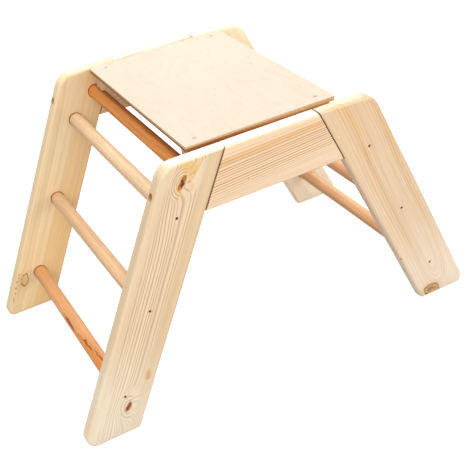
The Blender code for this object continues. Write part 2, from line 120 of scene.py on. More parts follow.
# Platform
PLATFORM_RISE = 3 * MM
BOARD_END_OVERHANG = 5.6 * MM
BOARD_SIDE_CLEARANCE = 8 * MM
BOARD_THICKNESS = 9 * MM
BOARD_CORNER_RADIUS = 4 * MM
BATTEN_HEIGHT = 80 * MM
BATTEN_OUTER_INSET = 6.5 * MM
BATTEN_END_INSET = 1.5 * MM
BATTEN_CORNER_RADIUS = 4 * MM
BOARD_SCREW_EDGE_DISTANCE = 28 * MM
BOARD_SCREW_RADIUS = 1.8 * MM
BOARD_SCREW_HEAD_RADIUS = 3.6 * MM
BOARD_SCREW_RIM = 0.3 * MM
BOARD_SCREW_BITE = 26 * MM
BOARD_SCREW_POINT = 5 * MM
CROSS_LENGTH = 3.8 * MM
CROSS_WIDTH = 0.9 * MM
CROSS_DEPTH = 1.2 * MM

# Fits and facets
SEAT_GAP = 0.3 * MM
CUT_OVERRUN = 5 * MM
MERGE_DISTANCE = 0.001 * MM
CORNER_STEPS = 20
ROUND_STEPS = 8
EASE_STEPS = 3
BORE_SIDES = 48
ROD_SIDES = 72
HEX_SIDES = 6
CROSS_ARMS = 4
SMOOTH_ANGLE = math.radians(35)
FLAT_COSINE = 0.999

# Places that follow from the sizes
LEAN_SLOPE = math.tan(LEG_LEAN)
LEG_LEVEL_WIDTH = LEG_WIDTH / math.cos(LEG_LEAN)
PANEL_MIDDLE = (PANEL_GAP + STOCK_THICKNESS) / 2
PANEL_OUTER_FACE = PANEL_GAP / 2 + STOCK_THICKNESS
TOP_RUNG_HEIGHT = PANEL_HEIGHT - TOP_RUNG_DROP
BEAM_SCREW_HEIGHT = PANEL_HEIGHT - BEAM_SCREW_DROP
SCREW_HOLE_RADIUS = BEAM_SCREW_RADIUS + SEAT_GAP
RUNG_HALF_LENGTH = PANEL_GAP / 2 + SOCKET_DEPTH - SEAT_GAP
BOARD_TOP = PANEL_HEIGHT + PLATFORM_RISE
BOARD_HALF_WIDTH = PANEL_GAP / 2 - BOARD_SIDE_CLEARANCE
BATTEN_TOP = BOARD_TOP - BOARD_THICKNESS - SEAT_GAP
BATTEN_MIDDLE = BOARD_HALF_WIDTH - BATTEN_OUTER_INSET - STOCK_THICKNESS / 2

SIDES = (("near", -1), ("far", 1))
ENDS = (("left", -1), ("right", 1))
CORNERS = [(f"{side_name}_{end_name}", end, side) for side_name, side in SIDES for end_name, end in ENDS]
ALONG_Y = (0, 1, 0)
DOWN = (0, 0, -1)


# Reach of a knot's rings, in millimetres
RINGS_TOP = 60
WHOLE_BOARD = 1000


@dataclass(frozen=True)
class Knot:
    """A knot on a pine board: its place on the face, its size and lie, and how strongly each part shows.

    Rings, where it has them, lie a gap apart and close round it up to a reach, but only on its left as far
    as ring_side and below ring_top. Lengths are in millimetres and turns in degrees.
    """

    across: float
    along: float
    radius: float
    stretch: float = 1.5
    turn: float = 0
    slant: float = 0.2
    flow: float = 1.5
    bend: float = 0.85
    swell: float = 0
    stain: float = 0.5
    rim: float = 0.6
    heart: float = 0.6
    halo: float = 0.6
    ring_gap: float = 0
    ring_reach: float = 0
    ring_side: float = 0
    ring_top: float = 0
    seed: float = 1


def mark(across, along, radius, stretch, turn, **lie):
    """A place that shows no knot and bends no grain, but for what its lie says."""
    nothing = {"slant": 0, "bend": 0, "stain": 0, "rim": 0, "heart": 0, "halo": 0}
    return Knot(across, along, radius, stretch, turn, **(nothing | lie))


def swerve(across, along, radius, stretch, turn, swell):
    """A place where the growth lines bend aside."""
    return mark(across, along, radius, stretch, turn, flow=1, swell=swell)


def resin(across, along, radius, stretch, turn, stain, seed):
    """A thin resin streak along the grain."""
    return mark(across, along, radius, stretch, turn, stain=stain, halo=0.3, seed=seed)


def patch(across, along, radius, stretch, turn, halo, seed):
    """A soft patch of stained wood."""
    return mark(across, along, radius, stretch, turn, halo=halo, seed=seed)


def rings(across, along, radius, stretch, turn, gap, reach, side, seed):
    """Growth rings that close round a place."""
    lie = {"ring_gap": gap, "ring_reach": reach, "ring_side": side, "ring_top": RINGS_TOP}
    return mark(across, along, radius, stretch, turn, seed=seed, **lie)


def calm(across, along, reach, stretch, turn):
    """A patch of plain wood with no growth lines."""
    lie = dict.fromkeys(("ring_gap", "ring_side", "ring_top"), WHOLE_BOARD)
    return mark(across, along, reach, stretch, turn, ring_reach=reach, **lie)


@dataclass(frozen=True)
class Grain:
    """How a board was cut from its log, in the board's own axes: its pith, its rings, bands and knots.

    A path gives the pith's place at a few places along the board. Warmth and contrast are given at a few
    places across the grain, or at a few distances from the pith, and warmth may rise along the board. Fade
    is how much the wood pales toward the foot, partly paler wood and partly painted light of the floor's
    bounce, and top_fade is how strongly the panel's top is painted pale as a highlight. Lines are
    single bold rings, each with its place, half width and strength. The tints are the board's own tone,
    but far_right's strong tint is painted light that brightens a leg seen in shade. Lengths are in
    millimetres, but warmth_rise is per metre.
    """

    seed: float
    pith_across: tuple
    pith_depth: tuple
    ring_width: float = 7
    wander: float = 5
    by_radius: bool = False
    warmth: tuple = ((-60, 0.2), (60, 0.2))
    contrast: tuple = ((-60, 0.6), (60, 0.6))
    warmth_rise: float = 0
    fade: float = 0
    top_fade: float = 0
    ochre: float = 0.3
    tint: tuple = (1, 1, 1)
    line_tint: tuple = (1, 1, 1)
    lines: tuple = ()
    knots: tuple = ()


@dataclass(frozen=True)
class RungTone:
    """How one rung differs from the others: depth of colour, bands, and dark streaks near its near end.

    The streaks start at streak_start along it. Shade is painted shade that darkens the side toward the
    platform, standing for the board's shadow on the top rungs. A vein is a dark line along the rung, given
    at a few places along it, in millimetres, by its place from the middle of the outer side, in radii.
    """

    depth: float
    band: float
    streak: float
    streak_start: float
    shade: float = 0
    vein: tuple = ()


LEG_GRAIN = {
    "near_left": Grain(
        seed=3.1,
        pith_across=((-280, 96), (280, 92)),
        pith_depth=((-280, 66), (280, 60)),
        ring_width=4.6,
        wander=3.5,
        warmth=((-52, 0.45), (-40, 0.25), (-20, 0.05), (18, 0.1), (29, 0.7), (52, 0.85)),
        contrast=((-52, 0.1), (-38, 0.2), (-30, 0.8), (19, 0.85), (29, 0.15), (52, 0.1)),
        fade=0.36,
        top_fade=0.45,
        ochre=0.1,
        tint=(0.98, 1, 0.97),
        knots=(
            Knot(-7, 230.5, 5.4, 2.5, -10, 0.2, 1, 0.5, stain=0.97, rim=0.3, heart=1, halo=0.9, seed=4.4),
            rings(-8, 230, 6, 1.45, -5, 4, 21, 2, 6.6),
            swerve(-6, 234, 5.9, 1.5, -8, 15),
            swerve(-18, 195, 7.8, 2.6, 0, 7),
            patch(-8, 260, 10, 0.75, 0, 1.1, 2.6),
            resin(-9.8, 206, 1.1, 7, -7, 0.3, 3.8),
            patch(5.4, 254, 1.15, 13.5, -15.6, 1.6, 8.8),
            patch(9.8, 254.3, 1.15, 13.5, -15.6, 1.6, 1.8),
            patch(1.6, 259, 1, 10.5, -9.5, 1.3, 2.8),
            patch(11.5, 226.1, 2.4, 1.9, 0, 0.8, 4.1),
            calm(-43, 247, 15, 3, 0),
            calm(19, 246, 10, 3.4, -12),
            calm(-45, -210, 16, 5, 0),
            calm(15, -171, 10, 1.2, 0),
            Knot(15, -202.5, 4.9, 2.2, -10, 0.2, 1, 0.4, stain=0.92, rim=0.3, heart=0.9, halo=0.4, seed=7.3),
            rings(13.9, -203, 4, 1.45, 12, 6.2, 19.5, 5, 9.1),
            swerve(15, -203, 6.9, 1.5, -8, 24),
            patch(-49, -236, 3, 8, 0, 0.4, 5.7),
            Knot(36, -136, 5, 2, 5.7296, bend=0.3, stain=0.3, rim=0, heart=0, seed=5.1),
        ),
    ),
    "near_right": Grain(
        seed=11.7,
        pith_across=((-280, -10), (-200, 1), (-100, 7), (60, 9), (180, 15), (280, 18)),
        pith_depth=((-280, 66), (-250, 24), (-230, 17), (-190, 13), (-116, 11), (60, 12), (280, 13)),
        ring_width=5,
        wander=3,
        by_radius=True,
        warmth_rise=1.2,
        warmth=((0, 0.1), (32, 0.12), (36, 0.4), (45, 0.3), (60, 0.1), (90, 0.1)),
        contrast=((0, 0.12), (24, 0.2), (36, 0.35), (50, 0.3), (90, 0.2)),
        fade=0.32,
        ochre=0.6,
        line_tint=(1.05, 0.95, 0.75),
        lines=((36.3, 1.3, 0.55), (33.6, 0.8, 0.4), (30.2, 0.9, 0.35), (40.5, 0.8, 0.3)),
        knots=(
            Knot(-21, -249, 12.5, 1.55, 49, 0.2, 1, 0.6, stain=0.45, rim=0.9, heart=0.45, halo=0.9, seed=2.2),
            patch(-26, -257, 5, 0.8, 30, 1.3, 7.2),
            # A darker mark at a lower corner of the foot.
            resin(-50, -262, 3, 2.2, 0, 0.55, 8.8),
            Knot(-47, -118, 2, 1.6, rim=0.4, heart=0, seed=9.6),
            patch(-6.5, 240, 3.6, 8, 3, 0.5, 4.9),
            patch(46, 150, 4, 9, 0, 0.35, 5.9),
            patch(-48, 190, 3, 22, 0, 0.25, 6.9),
            resin(-14.7, 150, 0.7, 48, -4, 0.3, 1.3),
            resin(-11.5, 160, 0.6, 50, -4, 0.22, 2.3),
            resin(7.3, 175, 0.6, 55, -1, 0.25, 3.3),
        ),
    ),
    "far_left": Grain(
        seed=23.9,
        pith_across=((-280, -64), (280, -70)),
        pith_depth=((-280, 62), (280, 66)),
        ring_width=9,
        warmth=((-52, 0.3), (-30, 0.25), (-6, 0.3), (6, 0.85), (52, 1)),
        contrast=((-52, 0.1), (52, 0.08)),
        ochre=0.5,
        warmth_rise=-0.7,
        tint=(1.1, 1.12, 0.99),
        knots=(
            Knot(-30.3, -203.5, 7, 2.1, 5.1566, slant=0, stain=0.05, rim=0.9, heart=0, seed=6.1),
            patch(-41.5, -203, 5, 2.6, 0, 0.6, 1.7),
            resin(-46.3, -191.3, 1.5, 1.6, 0, 0.6, 1.1),
            resin(-46.1, -198.9, 1.4, 1.5, 20, 0.65, 2.2),
            resin(-47, -208.8, 1.4, 2.6, -10, 0.6, 3.3),
            resin(-38.8, -202.5, 1.4, 2, 15, 0.55, 4.4),
            resin(-36.8, -212.1, 1.6, 1.8, 0, 0.7, 5.5),
            resin(-33.1, -216.7, 1.5, 1.3, 0, 0.6, 6.6),
            resin(-46.7, -224.3, 2, 1.3, 0, 0.75, 7.7),
            resin(-45.8, -237.7, 1.9, 1.5, 0, 0.65, 8.8),
            resin(-45.7, -253, 1.2, 6, 8, 0.6, 9.9),
        ),
    ),
    "far_right": Grain(
        seed=37.3,
        pith_across=((-280, -4), (280, 12)),
        pith_depth=((-280, 52), (280, 22)),
        by_radius=True,
        warmth=((0, 0.1), (30, 0.1), (60, 0.2), (90, 0.2)),
        contrast=((0, 0.06), (60, 0.1), (90, 0.12)),
        fade=0.25,
        ochre=0.4,
        # A strong tint that brightens this leg: painted light for a leg seen in shade under the beam and
        # board.
        tint=(1.34, 1.38, 1.36),
        knots=(
            Knot(16, 62, 6, 1.5, 17.189, stain=0.8, rim=0.8, seed=3.4),
            Knot(-18, -150, 4, 1.8, -11.459, stain=0.7, rim=0.9, heart=0.8, seed=5.2),
        ),
    ),
}

BEAM_GRAIN = {
    "near": Grain(
        seed=41.3,
        pith_across=((-150, -100.5), (150, -139.5)),
        pith_depth=((-150, 75), (0, 60.5), (150, 42.5)),
        ring_width=4,
        wander=1.4,
        by_radius=True,
        warmth=(
            (85, 0.15), (95, 0.3), (98.5, 0.55), (102, 0.25), (111, 0.15), (115, 0.9),
            (118.5, 0.85), (122, 0.3), (128, 0.25), (136, 0.15), (190, 0.12),
        ),
        contrast=(
            (90, 0.15), (110, 0.3), (117, 0.8), (124, 1), (152, 1), (164, 0.5), (176, 0.12), (190, 0.05),
        ),
        top_fade=0.5,
        ochre=0.75,
        tint=(1.06, 1.05, 1.04),
        line_tint=(1, 0.8, 0.5),
        lines=((126.4, 1.1, 0.95), (129.8, 1, 0.9), (136.5, 0.9, 0.6)),
        knots=(Knot(22.2, -55, 1, 1.2, bend=0.5, stain=0.6, rim=0.3, heart=0.5, halo=0.3, seed=3.9),),
    ),
    "far": Grain(
        seed=53.9,
        pith_across=((-150, 4), (150, 10)),
        pith_depth=((-150, 40), (150, 56)),
        ring_width=6,
        wander=4,
        warmth=((-60, 0.3), (60, 0.4)),
    ),
}

BATTEN_GRAIN = {
    "near": Grain(
        seed=61.7,
        pith_across=((-150, 80), (150, 84)),
        pith_depth=((-150, 40), (150, 40)),
        ring_width=4,
        warmth=((-60, 0.6), (60, 0.5)),
        ochre=0.5,
    ),
    "far": Grain(
        seed=71.1,
        pith_across=((-150, -75), (150, -72)),
        pith_depth=((-150, 36), (150, 40)),
        ring_width=5,
        warmth=((-60, 0.6), (60, 0.5)),
        ochre=0.5,
    ),
}

RUNG_VEIN = (
    (-200, -0.5), (-126, -0.34), (-100, -0.09), (-75, 0.03), (-50, 0.27), (-35, 0.38), (36, 0.5), (60, 0.6)
)
# Shade is painted shade on the side toward the platform; on the top rungs it stands for the board's shadow.
RUNG_TONES = {
    "left_1": RungTone(0.54, 0.8, 0.35, 20, vein=RUNG_VEIN),
    "left_2": RungTone(0.16, 0.6, 0.3, -100),
    "left_3": RungTone(0, 0.4, 0.2, -100),
    "left_4": RungTone(0.85, 1, 0.9, 300, shade=0.75),
    "right_1": RungTone(0.32, 0.7, 0.3, 0, shade=0.15),
    "right_2": RungTone(0.3, 0.6, 0.3, 0, shade=0.15),
    "right_3": RungTone(0.25, 0.6, 0.2, 0, shade=0.15),
    "right_4": RungTone(0.8, 0.6, 0.4, 0, shade=0.5),
}


def leg_inner_edge(height):
    """Distance of a leg's inner edge from the middle, at a height over the floor."""
    return BEAM_TOP_LENGTH / 2 + (PANEL_HEIGHT - height) * LEAN_SLOPE


def top_rung_distance():
    """Distance of a top rung's axis from the middle."""
    return leg_inner_edge(TOP_RUNG_HEIGHT) + TOP_RUNG_EDGE_DISTANCE / math.cos(LEG_LEAN)


def rung_places():
    """Distance from the middle and height of each rung's axis, from the floor up."""
    places = []
    last_height = PANEL_HEIGHT - LAST_LEG_RUNG_DROP
    rise = (last_height - FIRST_RUNG_HEIGHT) / (LEG_RUNG_COUNT - 1)
    for index in range(LEG_RUNG_COUNT):
        height = FIRST_RUNG_HEIGHT + index * rise
        places.append((leg_inner_edge(height) + LEG_LEVEL_WIDTH / 2, height))
    places.append((top_rung_distance(), TOP_RUNG_HEIGHT))
    return places


def board_half_length():
    """Distance of the board's end edges from the middle."""
    return top_rung_distance() + BOARD_END_OVERHANG


def board_screw_heads():
    """Places of the board screws' heads, in the order of the corners."""
    distance = board_half_length() - BOARD_SCREW_EDGE_DISTANCE
    return [Vector((end * distance, side * BATTEN_MIDDLE, BOARD_TOP)) for _, end, side in CORNERS]


def spun_arc(shape, start, finish, centre):
    """Vertices from start to finish, made by spinning the first about the centre of the arc."""
    first = shape.verts.new(start)
    made_before = len(shape.verts)
    from_centre = Vector(start) - Vector(centre)
    to_centre = Vector(finish) - Vector(centre)
    bmesh.ops.spin(
        shape,
        geom=[first],
        cent=centre,
        axis=from_centre.cross(to_centre).normalized(),
        dvec=(0, 0, 0),
        angle=from_centre.angle(to_centre),
        steps=CORNER_STEPS,
        use_merge=False,
        use_duplicate=False,
    )
    shape.verts.ensure_lookup_table()
    return [first, *shape.verts[made_before:]]


def rounded_corner(shape, before, corner, after, radius):
    """Vertices that round one corner of an outline, or the one vertex of a sharp corner."""
    if radius == 0:
        return [shape.verts.new(corner)]
    toward_before = (before - corner).normalized()
    toward_after = (after - corner).normalized()
    half_angle = toward_before.angle(toward_after) / 2
    tangent_length = radius / math.tan(half_angle)
    centre_line = (toward_before + toward_after).normalized()
    centre = corner + centre_line * (radius / math.sin(half_angle))
    start = corner + toward_before * tangent_length
    return spun_arc(shape, start, corner + toward_after * tangent_length, centre)


def rounded_face(shape, corners):
    """A flat face through the corners (place, radius), each rounded by its own radius."""
    outline = []
    for index, (corner, radius) in enumerate(corners):
        before = corners[index - 1][0]
        after = corners[(index + 1) % len(corners)][0]
        outline.extend(rounded_corner(shape, before, corner, after, radius))
    return shape.faces.new(outline)


def thickened(shape, face, push):
    """Extrude a face into a closed solid."""
    swept = bmesh.ops.extrude_face_region(shape, geom=[face])
    moved = [item for item in swept["geom"] if isinstance(item, bmesh.types.BMVert)]
    bmesh.ops.translate(shape, verts=moved, vec=push)
    bmesh.ops.recalc_face_normals(shape, faces=shape.faces)
    return shape


def rounded_edges(shape, edges, width, steps):
    """Round edges of a shape."""
    bmesh.ops.bevel(
        shape,
        geom=list(edges),
        offset=width,
        offset_type="OFFSET",
        segments=steps,
        profile=0.5,
        affect="EDGES",
        clamp_overlap=False,
        material=-1,
    )


def face_border(shape, direction):
    """Edges round the flat faces whose normals lie along a direction, either way."""
    edges = set()
    for face in shape.faces:
        if abs(face.normal.dot(Vector(direction))) > FLAT_COSINE:
            edges.update(face.edges)
    return edges


def turned(profile, sides):
    """Turn a profile of (radius, distance along Z), both ends on the axis, into a closed solid."""
    shape = bmesh.new()
    points = [shape.verts.new((radius, 0, along)) for radius, along in profile]
    lines = [shape.edges.new(pair) for pair in zip(points, points[1:])]
    bmesh.ops.spin(
        shape,
        geom=points + lines,
        cent=(0, 0, 0),
        axis=(0, 0, 1),
        dvec=(0, 0, 0),
        angle=math.tau,
        steps=sides,
        use_merge=True,
        use_duplicate=False,
    )
    bmesh.ops.remove_doubles(shape, verts=shape.verts, dist=MERGE_DISTANCE)
    bmesh.ops.recalc_face_normals(shape, faces=shape.faces)
    return shape


def placed(shape, location, direction):
    """Turn a shape's own +Z to a direction and move it to a location."""
    turn = Vector(direction).to_track_quat("Z", "Y").to_matrix().to_4x4()
    bmesh.ops.transform(shape, matrix=Matrix.Translation(location) @ turn, verts=shape.verts)
    return shape


def drill(profile, mouth, direction):
    """A cutter turned from a profile, with its mouth at a place and its point in a direction."""
    return placed(turned(profile, BORE_SIDES), mouth, direction)


def screw_hole(radius, bite, point, point_radius):
    """Profile of a blind hole for a screw that bites into the wood and ends in a point."""
    tip = bite + SEAT_GAP * point / point_radius
    return ((0, -CUT_OVERRUN), (radius, -CUT_OVERRUN), (radius, bite - point), (0, tip))


def merged(shapes):
    """Gather shapes that don't touch into one."""
    gathered = bmesh.new()
    for shape in shapes:
        mesh = bpy.data.meshes.new("gathered_shape")
        shape.to_mesh(mesh)
        shape.free()
        gathered.from_mesh(mesh)
        bpy.data.meshes.remove(mesh)
    return gathered


def mirrored(shape, end, side):
    """A copy of a shape of the near left, mirrored across X for the right and across Y for the far side."""
    copy = shape.copy()
    bmesh.ops.scale(copy, vec=(-end, -side, 1), verts=copy.verts)
    if end * side < 0:
        bmesh.ops.reverse_faces(copy, faces=copy.faces)
    return copy


def helper_object(name, shape):
    """An object that only lends its mesh to a modifier."""
    mesh = bpy.data.meshes.new(name)
    shape.to_mesh(mesh)
    shape.free()
    helper = bpy.data.objects.new(name, mesh)
    bpy.context.scene.collection.objects.link(helper)
    return helper


def remove_helper(helper):
    """Remove a helper object with its mesh."""
    mesh = helper.data
    bpy.data.objects.remove(helper, do_unlink=True)
    bpy.data.meshes.remove(mesh)


def carved(shape, cutters):
    """Cut closed shapes out of a closed shape, one after the other."""
    block = helper_object("block", shape)
    tools = [helper_object("cutter", cutter) for cutter in cutters]
    for tool in tools:
        cut = block.modifiers.new("cut", "BOOLEAN")
        cut.operation = "DIFFERENCE"
        cut.solver = "EXACT"
        cut.object = tool
    result = bmesh.new()
    result.from_object(block, bpy.context.evaluated_depsgraph_get())
    for helper in (block, *tools):
        remove_helper(helper)
    bmesh.ops.remove_doubles(result, verts=result.verts, dist=MERGE_DISTANCE)
    bmesh.ops.recalc_face_normals(result, faces=result.faces)
    return result


def finished_piece(name, shape, material, node, body, slot):
    """Make a shape the visible piece of a CAD node, smooth where it is round and crisp where it is flat."""
    blank = helper_object(name + "_blank", shape)
    blank.data.shade_smooth()
    blank.data.set_sharp_from_angle(angle=SMOOTH_ANGLE)
    normals = blank.modifiers.new("flat_faces_first", "WEIGHTED_NORMAL")
    normals.keep_sharp = True
    depsgraph = bpy.context.evaluated_depsgraph_get()
    mesh = bpy.data.meshes.new_from_object(blank.evaluated_get(depsgraph))
    remove_helper(blank)
    mesh.name = name
    mesh.materials.clear()
    mesh.materials.append(material)
    piece = bpy.data.objects.new(name, mesh)
    bpy.context.scene.collection.objects.link(piece)
    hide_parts(node)
    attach(piece, body)
    return piece


def add_node(tree, kind, inputs=None, **options):
    """Add a node with its options and inputs, placed to the right of the ones before it."""
    node = tree.nodes.new(kind)
    node.location = (NODE_STEP * len(tree.nodes), 0)
    for name, value in options.items():
        setattr(node, name, value)
    for name, value in (inputs or {}).items():
        lead(value, node.inputs[name])
    return node


def add_value(tree, kind, inputs, **options):
    """Add a node and return its first output."""
    return Value(add_node(tree, kind, inputs, **options).outputs[0])


def lead(value, socket):
    """Link a value to an input, or set the input's own number or colour."""
    if isinstance(value, Value):
        socket.id_data.links.new(value.socket, socket)
    elif socket.type == "RGBA":
        socket.default_value = (*value, 1)
    else:
        socket.default_value = value


def work(operation, *values):
    """A sum, product or other function of one or two values or numbers."""
    tree = next(value.tree for value in values if isinstance(value, Value))
    return add_value(tree, "ShaderNodeMath", dict(enumerate(values)), operation=operation)


def hypotenuse(first, second):
    """Distance made up of two distances that are square to each other."""
    return work("SQRT", first * first + second * second)


def mix(share, first, second):
    """Second colour over the first, by a share."""
    inputs = {0: share, 6: first, 7: second}
    return Value(add_node(share.tree, "ShaderNodeMix", inputs, data_type="RGBA").outputs[2])


class Value:
    """What one output of a node puts out. Work on it adds more nodes to the same tree."""

    def __init__(self, socket):
        self.socket = socket
        self.tree = socket.id_data

    def __add__(self, other):
        return work("ADD", self, other)

    def __sub__(self, other):
        return work("SUBTRACT", self, other)

    def __rsub__(self, other):
        return work("SUBTRACT", other, self)

    def __mul__(self, other):
        return work("MULTIPLY", self, other)

    def __truediv__(self, other):
        return work("DIVIDE", self, other)

    def __abs__(self):
        return work("ABSOLUTE", self)

    def most(self, other):
        """The larger of two values."""
        return work("MAXIMUM", self, other)

    def least(self, other):
        """The smaller of two values."""
        return work("MINIMUM", self, other)

    def ramp(self, start, finish, low=0, high=1):
        """Smooth change from low to high while the value goes from start to finish."""
        inputs = {"Value": self, "From Min": start, "From Max": finish, "To Min": low, "To Max": high}
        return add_value(self.tree, "ShaderNodeMapRange", inputs, interpolation_type="SMOOTHSTEP")

    def lines(self, start, full, end):
        """A line before each whole count: it comes from start to full and goes from end to the count."""
        part = work("FRACT", self)
        return part.ramp(start, full) * part.ramp(1, end)

    def noise(self, scales, seed, detail=2, roughness=0.5):
        """Noise from 0 to 1 round a place, whose features are 1/scale long on each axis."""
        place = add_value(self.tree, "ShaderNodeVectorMath", {0: self, 1: scales}, operation="MULTIPLY")
        inputs = {"Vector": place, "W": seed, "Scale": 1, "Detail": detail, "Roughness": roughness}
        return add_value(self.tree, "ShaderNodeTexNoise", inputs, noise_dimensions="4D")

    def line_noise(self):
        """Smooth noise from 0 to 1 along the value."""
        inputs = {"W": self, "Scale": 1, "Detail": 1}
        return add_value(self.tree, "ShaderNodeTexNoise", inputs, noise_dimensions="1D")

    def chance(self):
        """A random number from 0 to 1 for each whole value."""
        return add_value(self.tree, "ShaderNodeTexWhiteNoise", {"W": self}, noise_dimensions="1D")

    def shaded(self, value):
        """The colour multiplied by a value."""
        return add_value(self.tree, "ShaderNodeVectorMath", {0: self, "Scale": value}, operation="SCALE")

    def axes(self):
        """The three parts of a vector."""
        outputs = add_node(self.tree, "ShaderNodeSeparateXYZ", {0: self}).outputs
        return [Value(output) for output in outputs]

    def path(self, points, unit=1):
        """Smooth path through a few points: places in millimetres, each with a number in a unit."""
        places, numbers = zip(*points)
        start = places[0]
        span = places[-1] - start
        low = min(numbers) * unit
        reach = max(max(numbers) * unit - low, PATH_LEAST_REACH)
        inputs = {"Value": self, "From Min": start * MM, "From Max": places[-1] * MM}
        share = add_value(self.tree, "ShaderNodeMapRange", inputs)
        node = add_node(self.tree, "ShaderNodeFloatCurve", {"Value": share})
        curve = node.mapping.curves[0]
        steps = [((place - start) / span, (number * unit - low) / reach) for place, number in points]
        curve.points[0].location = steps[0]
        curve.points[-1].location = steps[-1]
        for step in steps[1:-1]:
            curve.points.new(*step)
        node.mapping.update()
        return Value(node.outputs[0]) * reach + low


class NodeGroup:
    """A node group that a function describes. Its parameters are the inputs, its results the outputs.

    A call places the group in the tree of the values given and returns its outputs by name.
    """

    known = []

    def __init__(self, recipe):
        self.recipe = recipe
        self.name = "ladder_" + recipe.__name__.removesuffix("_group")
        self.labels = list(inspect.signature(recipe).parameters)
        NodeGroup.known.append(self)

    def build(self):
        """Build the group anew."""
        old = bpy.data.node_groups.get(self.name)
        if old is not None:
            bpy.data.node_groups.remove(old)
        tree = bpy.data.node_groups.new(self.name, "ShaderNodeTree")
        for label in self.labels:
            tree.interface.new_socket(label, in_out="INPUT", socket_type=socket_kind(label))
        entry = tree.nodes.new("NodeGroupInput")
        results = self.recipe(*[Value(entry.outputs[label]) for label in self.labels])
        for label in results:
            tree.interface.new_socket(label, in_out="OUTPUT", socket_type=socket_kind(label))
        add_node(tree, "NodeGroupOutput", results)

    def __call__(self, *values):
        node = add_node(values[0].tree, "ShaderNodeGroup", node_tree=bpy.data.node_groups[self.name])
        for label, value in zip(self.labels, values, strict=True):
            lead(value, node.inputs[label])
        return SimpleNamespace(**{output.name: Value(output) for output in node.outputs})


def socket_kind(label):
    """Kind of a node group's socket, told by its name."""
    if label.endswith("colour"):
        return "NodeSocketColor"
    if label in ("place", "facing"):
        return "NodeSocketVector"
    return "NodeSocketFloat"


# Numbers that the node groups use, with turns in radians
NODE_STEP = 40
PATH_LEAST_REACH = 0.0001
LATE_WOOD = (0.52, 0.8, 0.95)
KNOT_RING_WOBBLE = 2 * MM
KNOT_RING_FADE = 3 * MM
SCRATCH_TURNS = (0.35, -0.5)
STREAK_FULL = -200 * MM
VEIN_SIDE_END = 50 * MM
VEIN_END = 45 * MM
VEIN_FULL = 20 * MM
SEAT_STAIN_START = 213.5 * MM
SEAT_STAIN_FULL = 216.5 * MM
PLY_STAIN_START = -90 * MM
PLY_STAIN_END = 120 * MM
BORE_STAIN = 0.9 * MM
JOINT_BEAM_STAIN = 0.6 * MM
JOINT_LEG_STAIN = 1 * MM
RIGHT_JOINT_WIDTH = 2.4
FAR_JOINT_SHARE = 0.3
PALE_TOP_DEPTH = 4.5 * MM


@NodeGroup
def knot_place_group(place, across, along, radius, stretch, turn, slant, flow, bend, swell, seed):
    """How far a point is from a knot, in knot radii, and how far the grain bends aside to pass it."""
    level, through, upright = place.axes()
    sideways = level - across - through * slant
    lengthways = upright - along
    cosine = work("COSINE", turn)
    sine = work("SINE", turn)
    wide = sideways * cosine + lengthways * sine
    long = lengthways * cosine - sideways * sine
    away = hypotenuse(wide, long / stretch)
    distance = away / radius
    ragged = place.noise((170, 170, 110), seed, detail=3) * 0.8 - 0.4
    far = distance / flow
    square = far * far
    return {
        "distance": distance + ragged * distance.ramp(0, 1.5),
        "push": wide * bend / square.most(1),
        "swell": work("EXPONENT", square * -0.12) * swell,
        "away": away,
        "wide": wide,
        "long": long,
    }


@NodeGroup
def knot_rings_group(place, away, wide, long, gap, reach, side, top, seed):
    """Growth rings that close round a knot, and the share of the wood that they take."""
    wobble = place.noise((80, 80, 30), seed) * KNOT_RING_WOBBLE
    edges = [edge.ramp(-KNOT_RING_FADE, KNOT_RING_FADE) for edge in (reach - away, side - wide, top - long)]
    share = edges[0] * edges[1] * edges[2]
    return {"line": ((wobble + away) / gap).lines(*LATE_WOOD) * share, "share": share}


@NodeGroup
def knot_stain_group(
    colour, place, distance, halo, stain, rim, heart, halo_colour, knot_colour, bark_colour, seed
):
    """A knot laid over the wood: its stained halo, its own rings, its bark rim and its dark heart."""
    colour = mix(distance.ramp(1.9, 0.9) * halo * 0.55, colour, halo_colour)
    circles = (distance * 2.7).lines(0.3, 0.9, 0.92)
    grain = place.noise((210, 210, 150), seed, detail=3)
    light = grain.ramp(0.34, 0.66, 1.3, 0.35) * circles.ramp(0, 1, 1.1, 0.85)
    colour = mix(distance.ramp(1.1, 0.86) * stain, colour, knot_colour.shaded(light))
    bark = distance.ramp(0.82, 0.95) * distance.ramp(1.12, 1.02) * rim * grain.ramp(0.3, 0.6, 0.35, 0.95)
    colour = mix(bark, colour, bark_colour)
    spots = place.noise((260, 260, 170), seed)
    core = (1 - distance + spots * 1.8).ramp(1.25, 1.5) * distance.ramp(0.95, 0.7)
    return {"colour": mix(core * heart, colour, bark_colour)}


@NodeGroup
def growth_rings_group(place, push, swell, pith_across, pith_depth, ring_width, wander, seed):
    """Growth rings round the pith: dark late wood lines of uneven spacing and strength."""
    across, through, _ = place.axes()
    fine = place.noise((70, 70, 9), seed, detail=3)
    drift = (place.noise((16, 16, 3.2), seed) + fine * 0.22 - 0.61) * wander
    flat = across - push
    radius = hypotenuse(flat - pith_across, through - pith_depth) + drift - swell
    count = radius / ring_width
    spread = (count * 0.45 + seed).line_noise()
    count = spread * 0.9 + count
    tone = (work("FLOOR", count) + seed).chance()
    return {
        "late_wood": count.lines(*LATE_WOOD) * tone.ramp(0, 1, 0.65, 1),
        "faint_lines": (count * 3.4).lines(0.3, 0.85, 0.9),
        "ring_tone": tone,
        "radius": radius,
        "flat": flat + drift,
    }


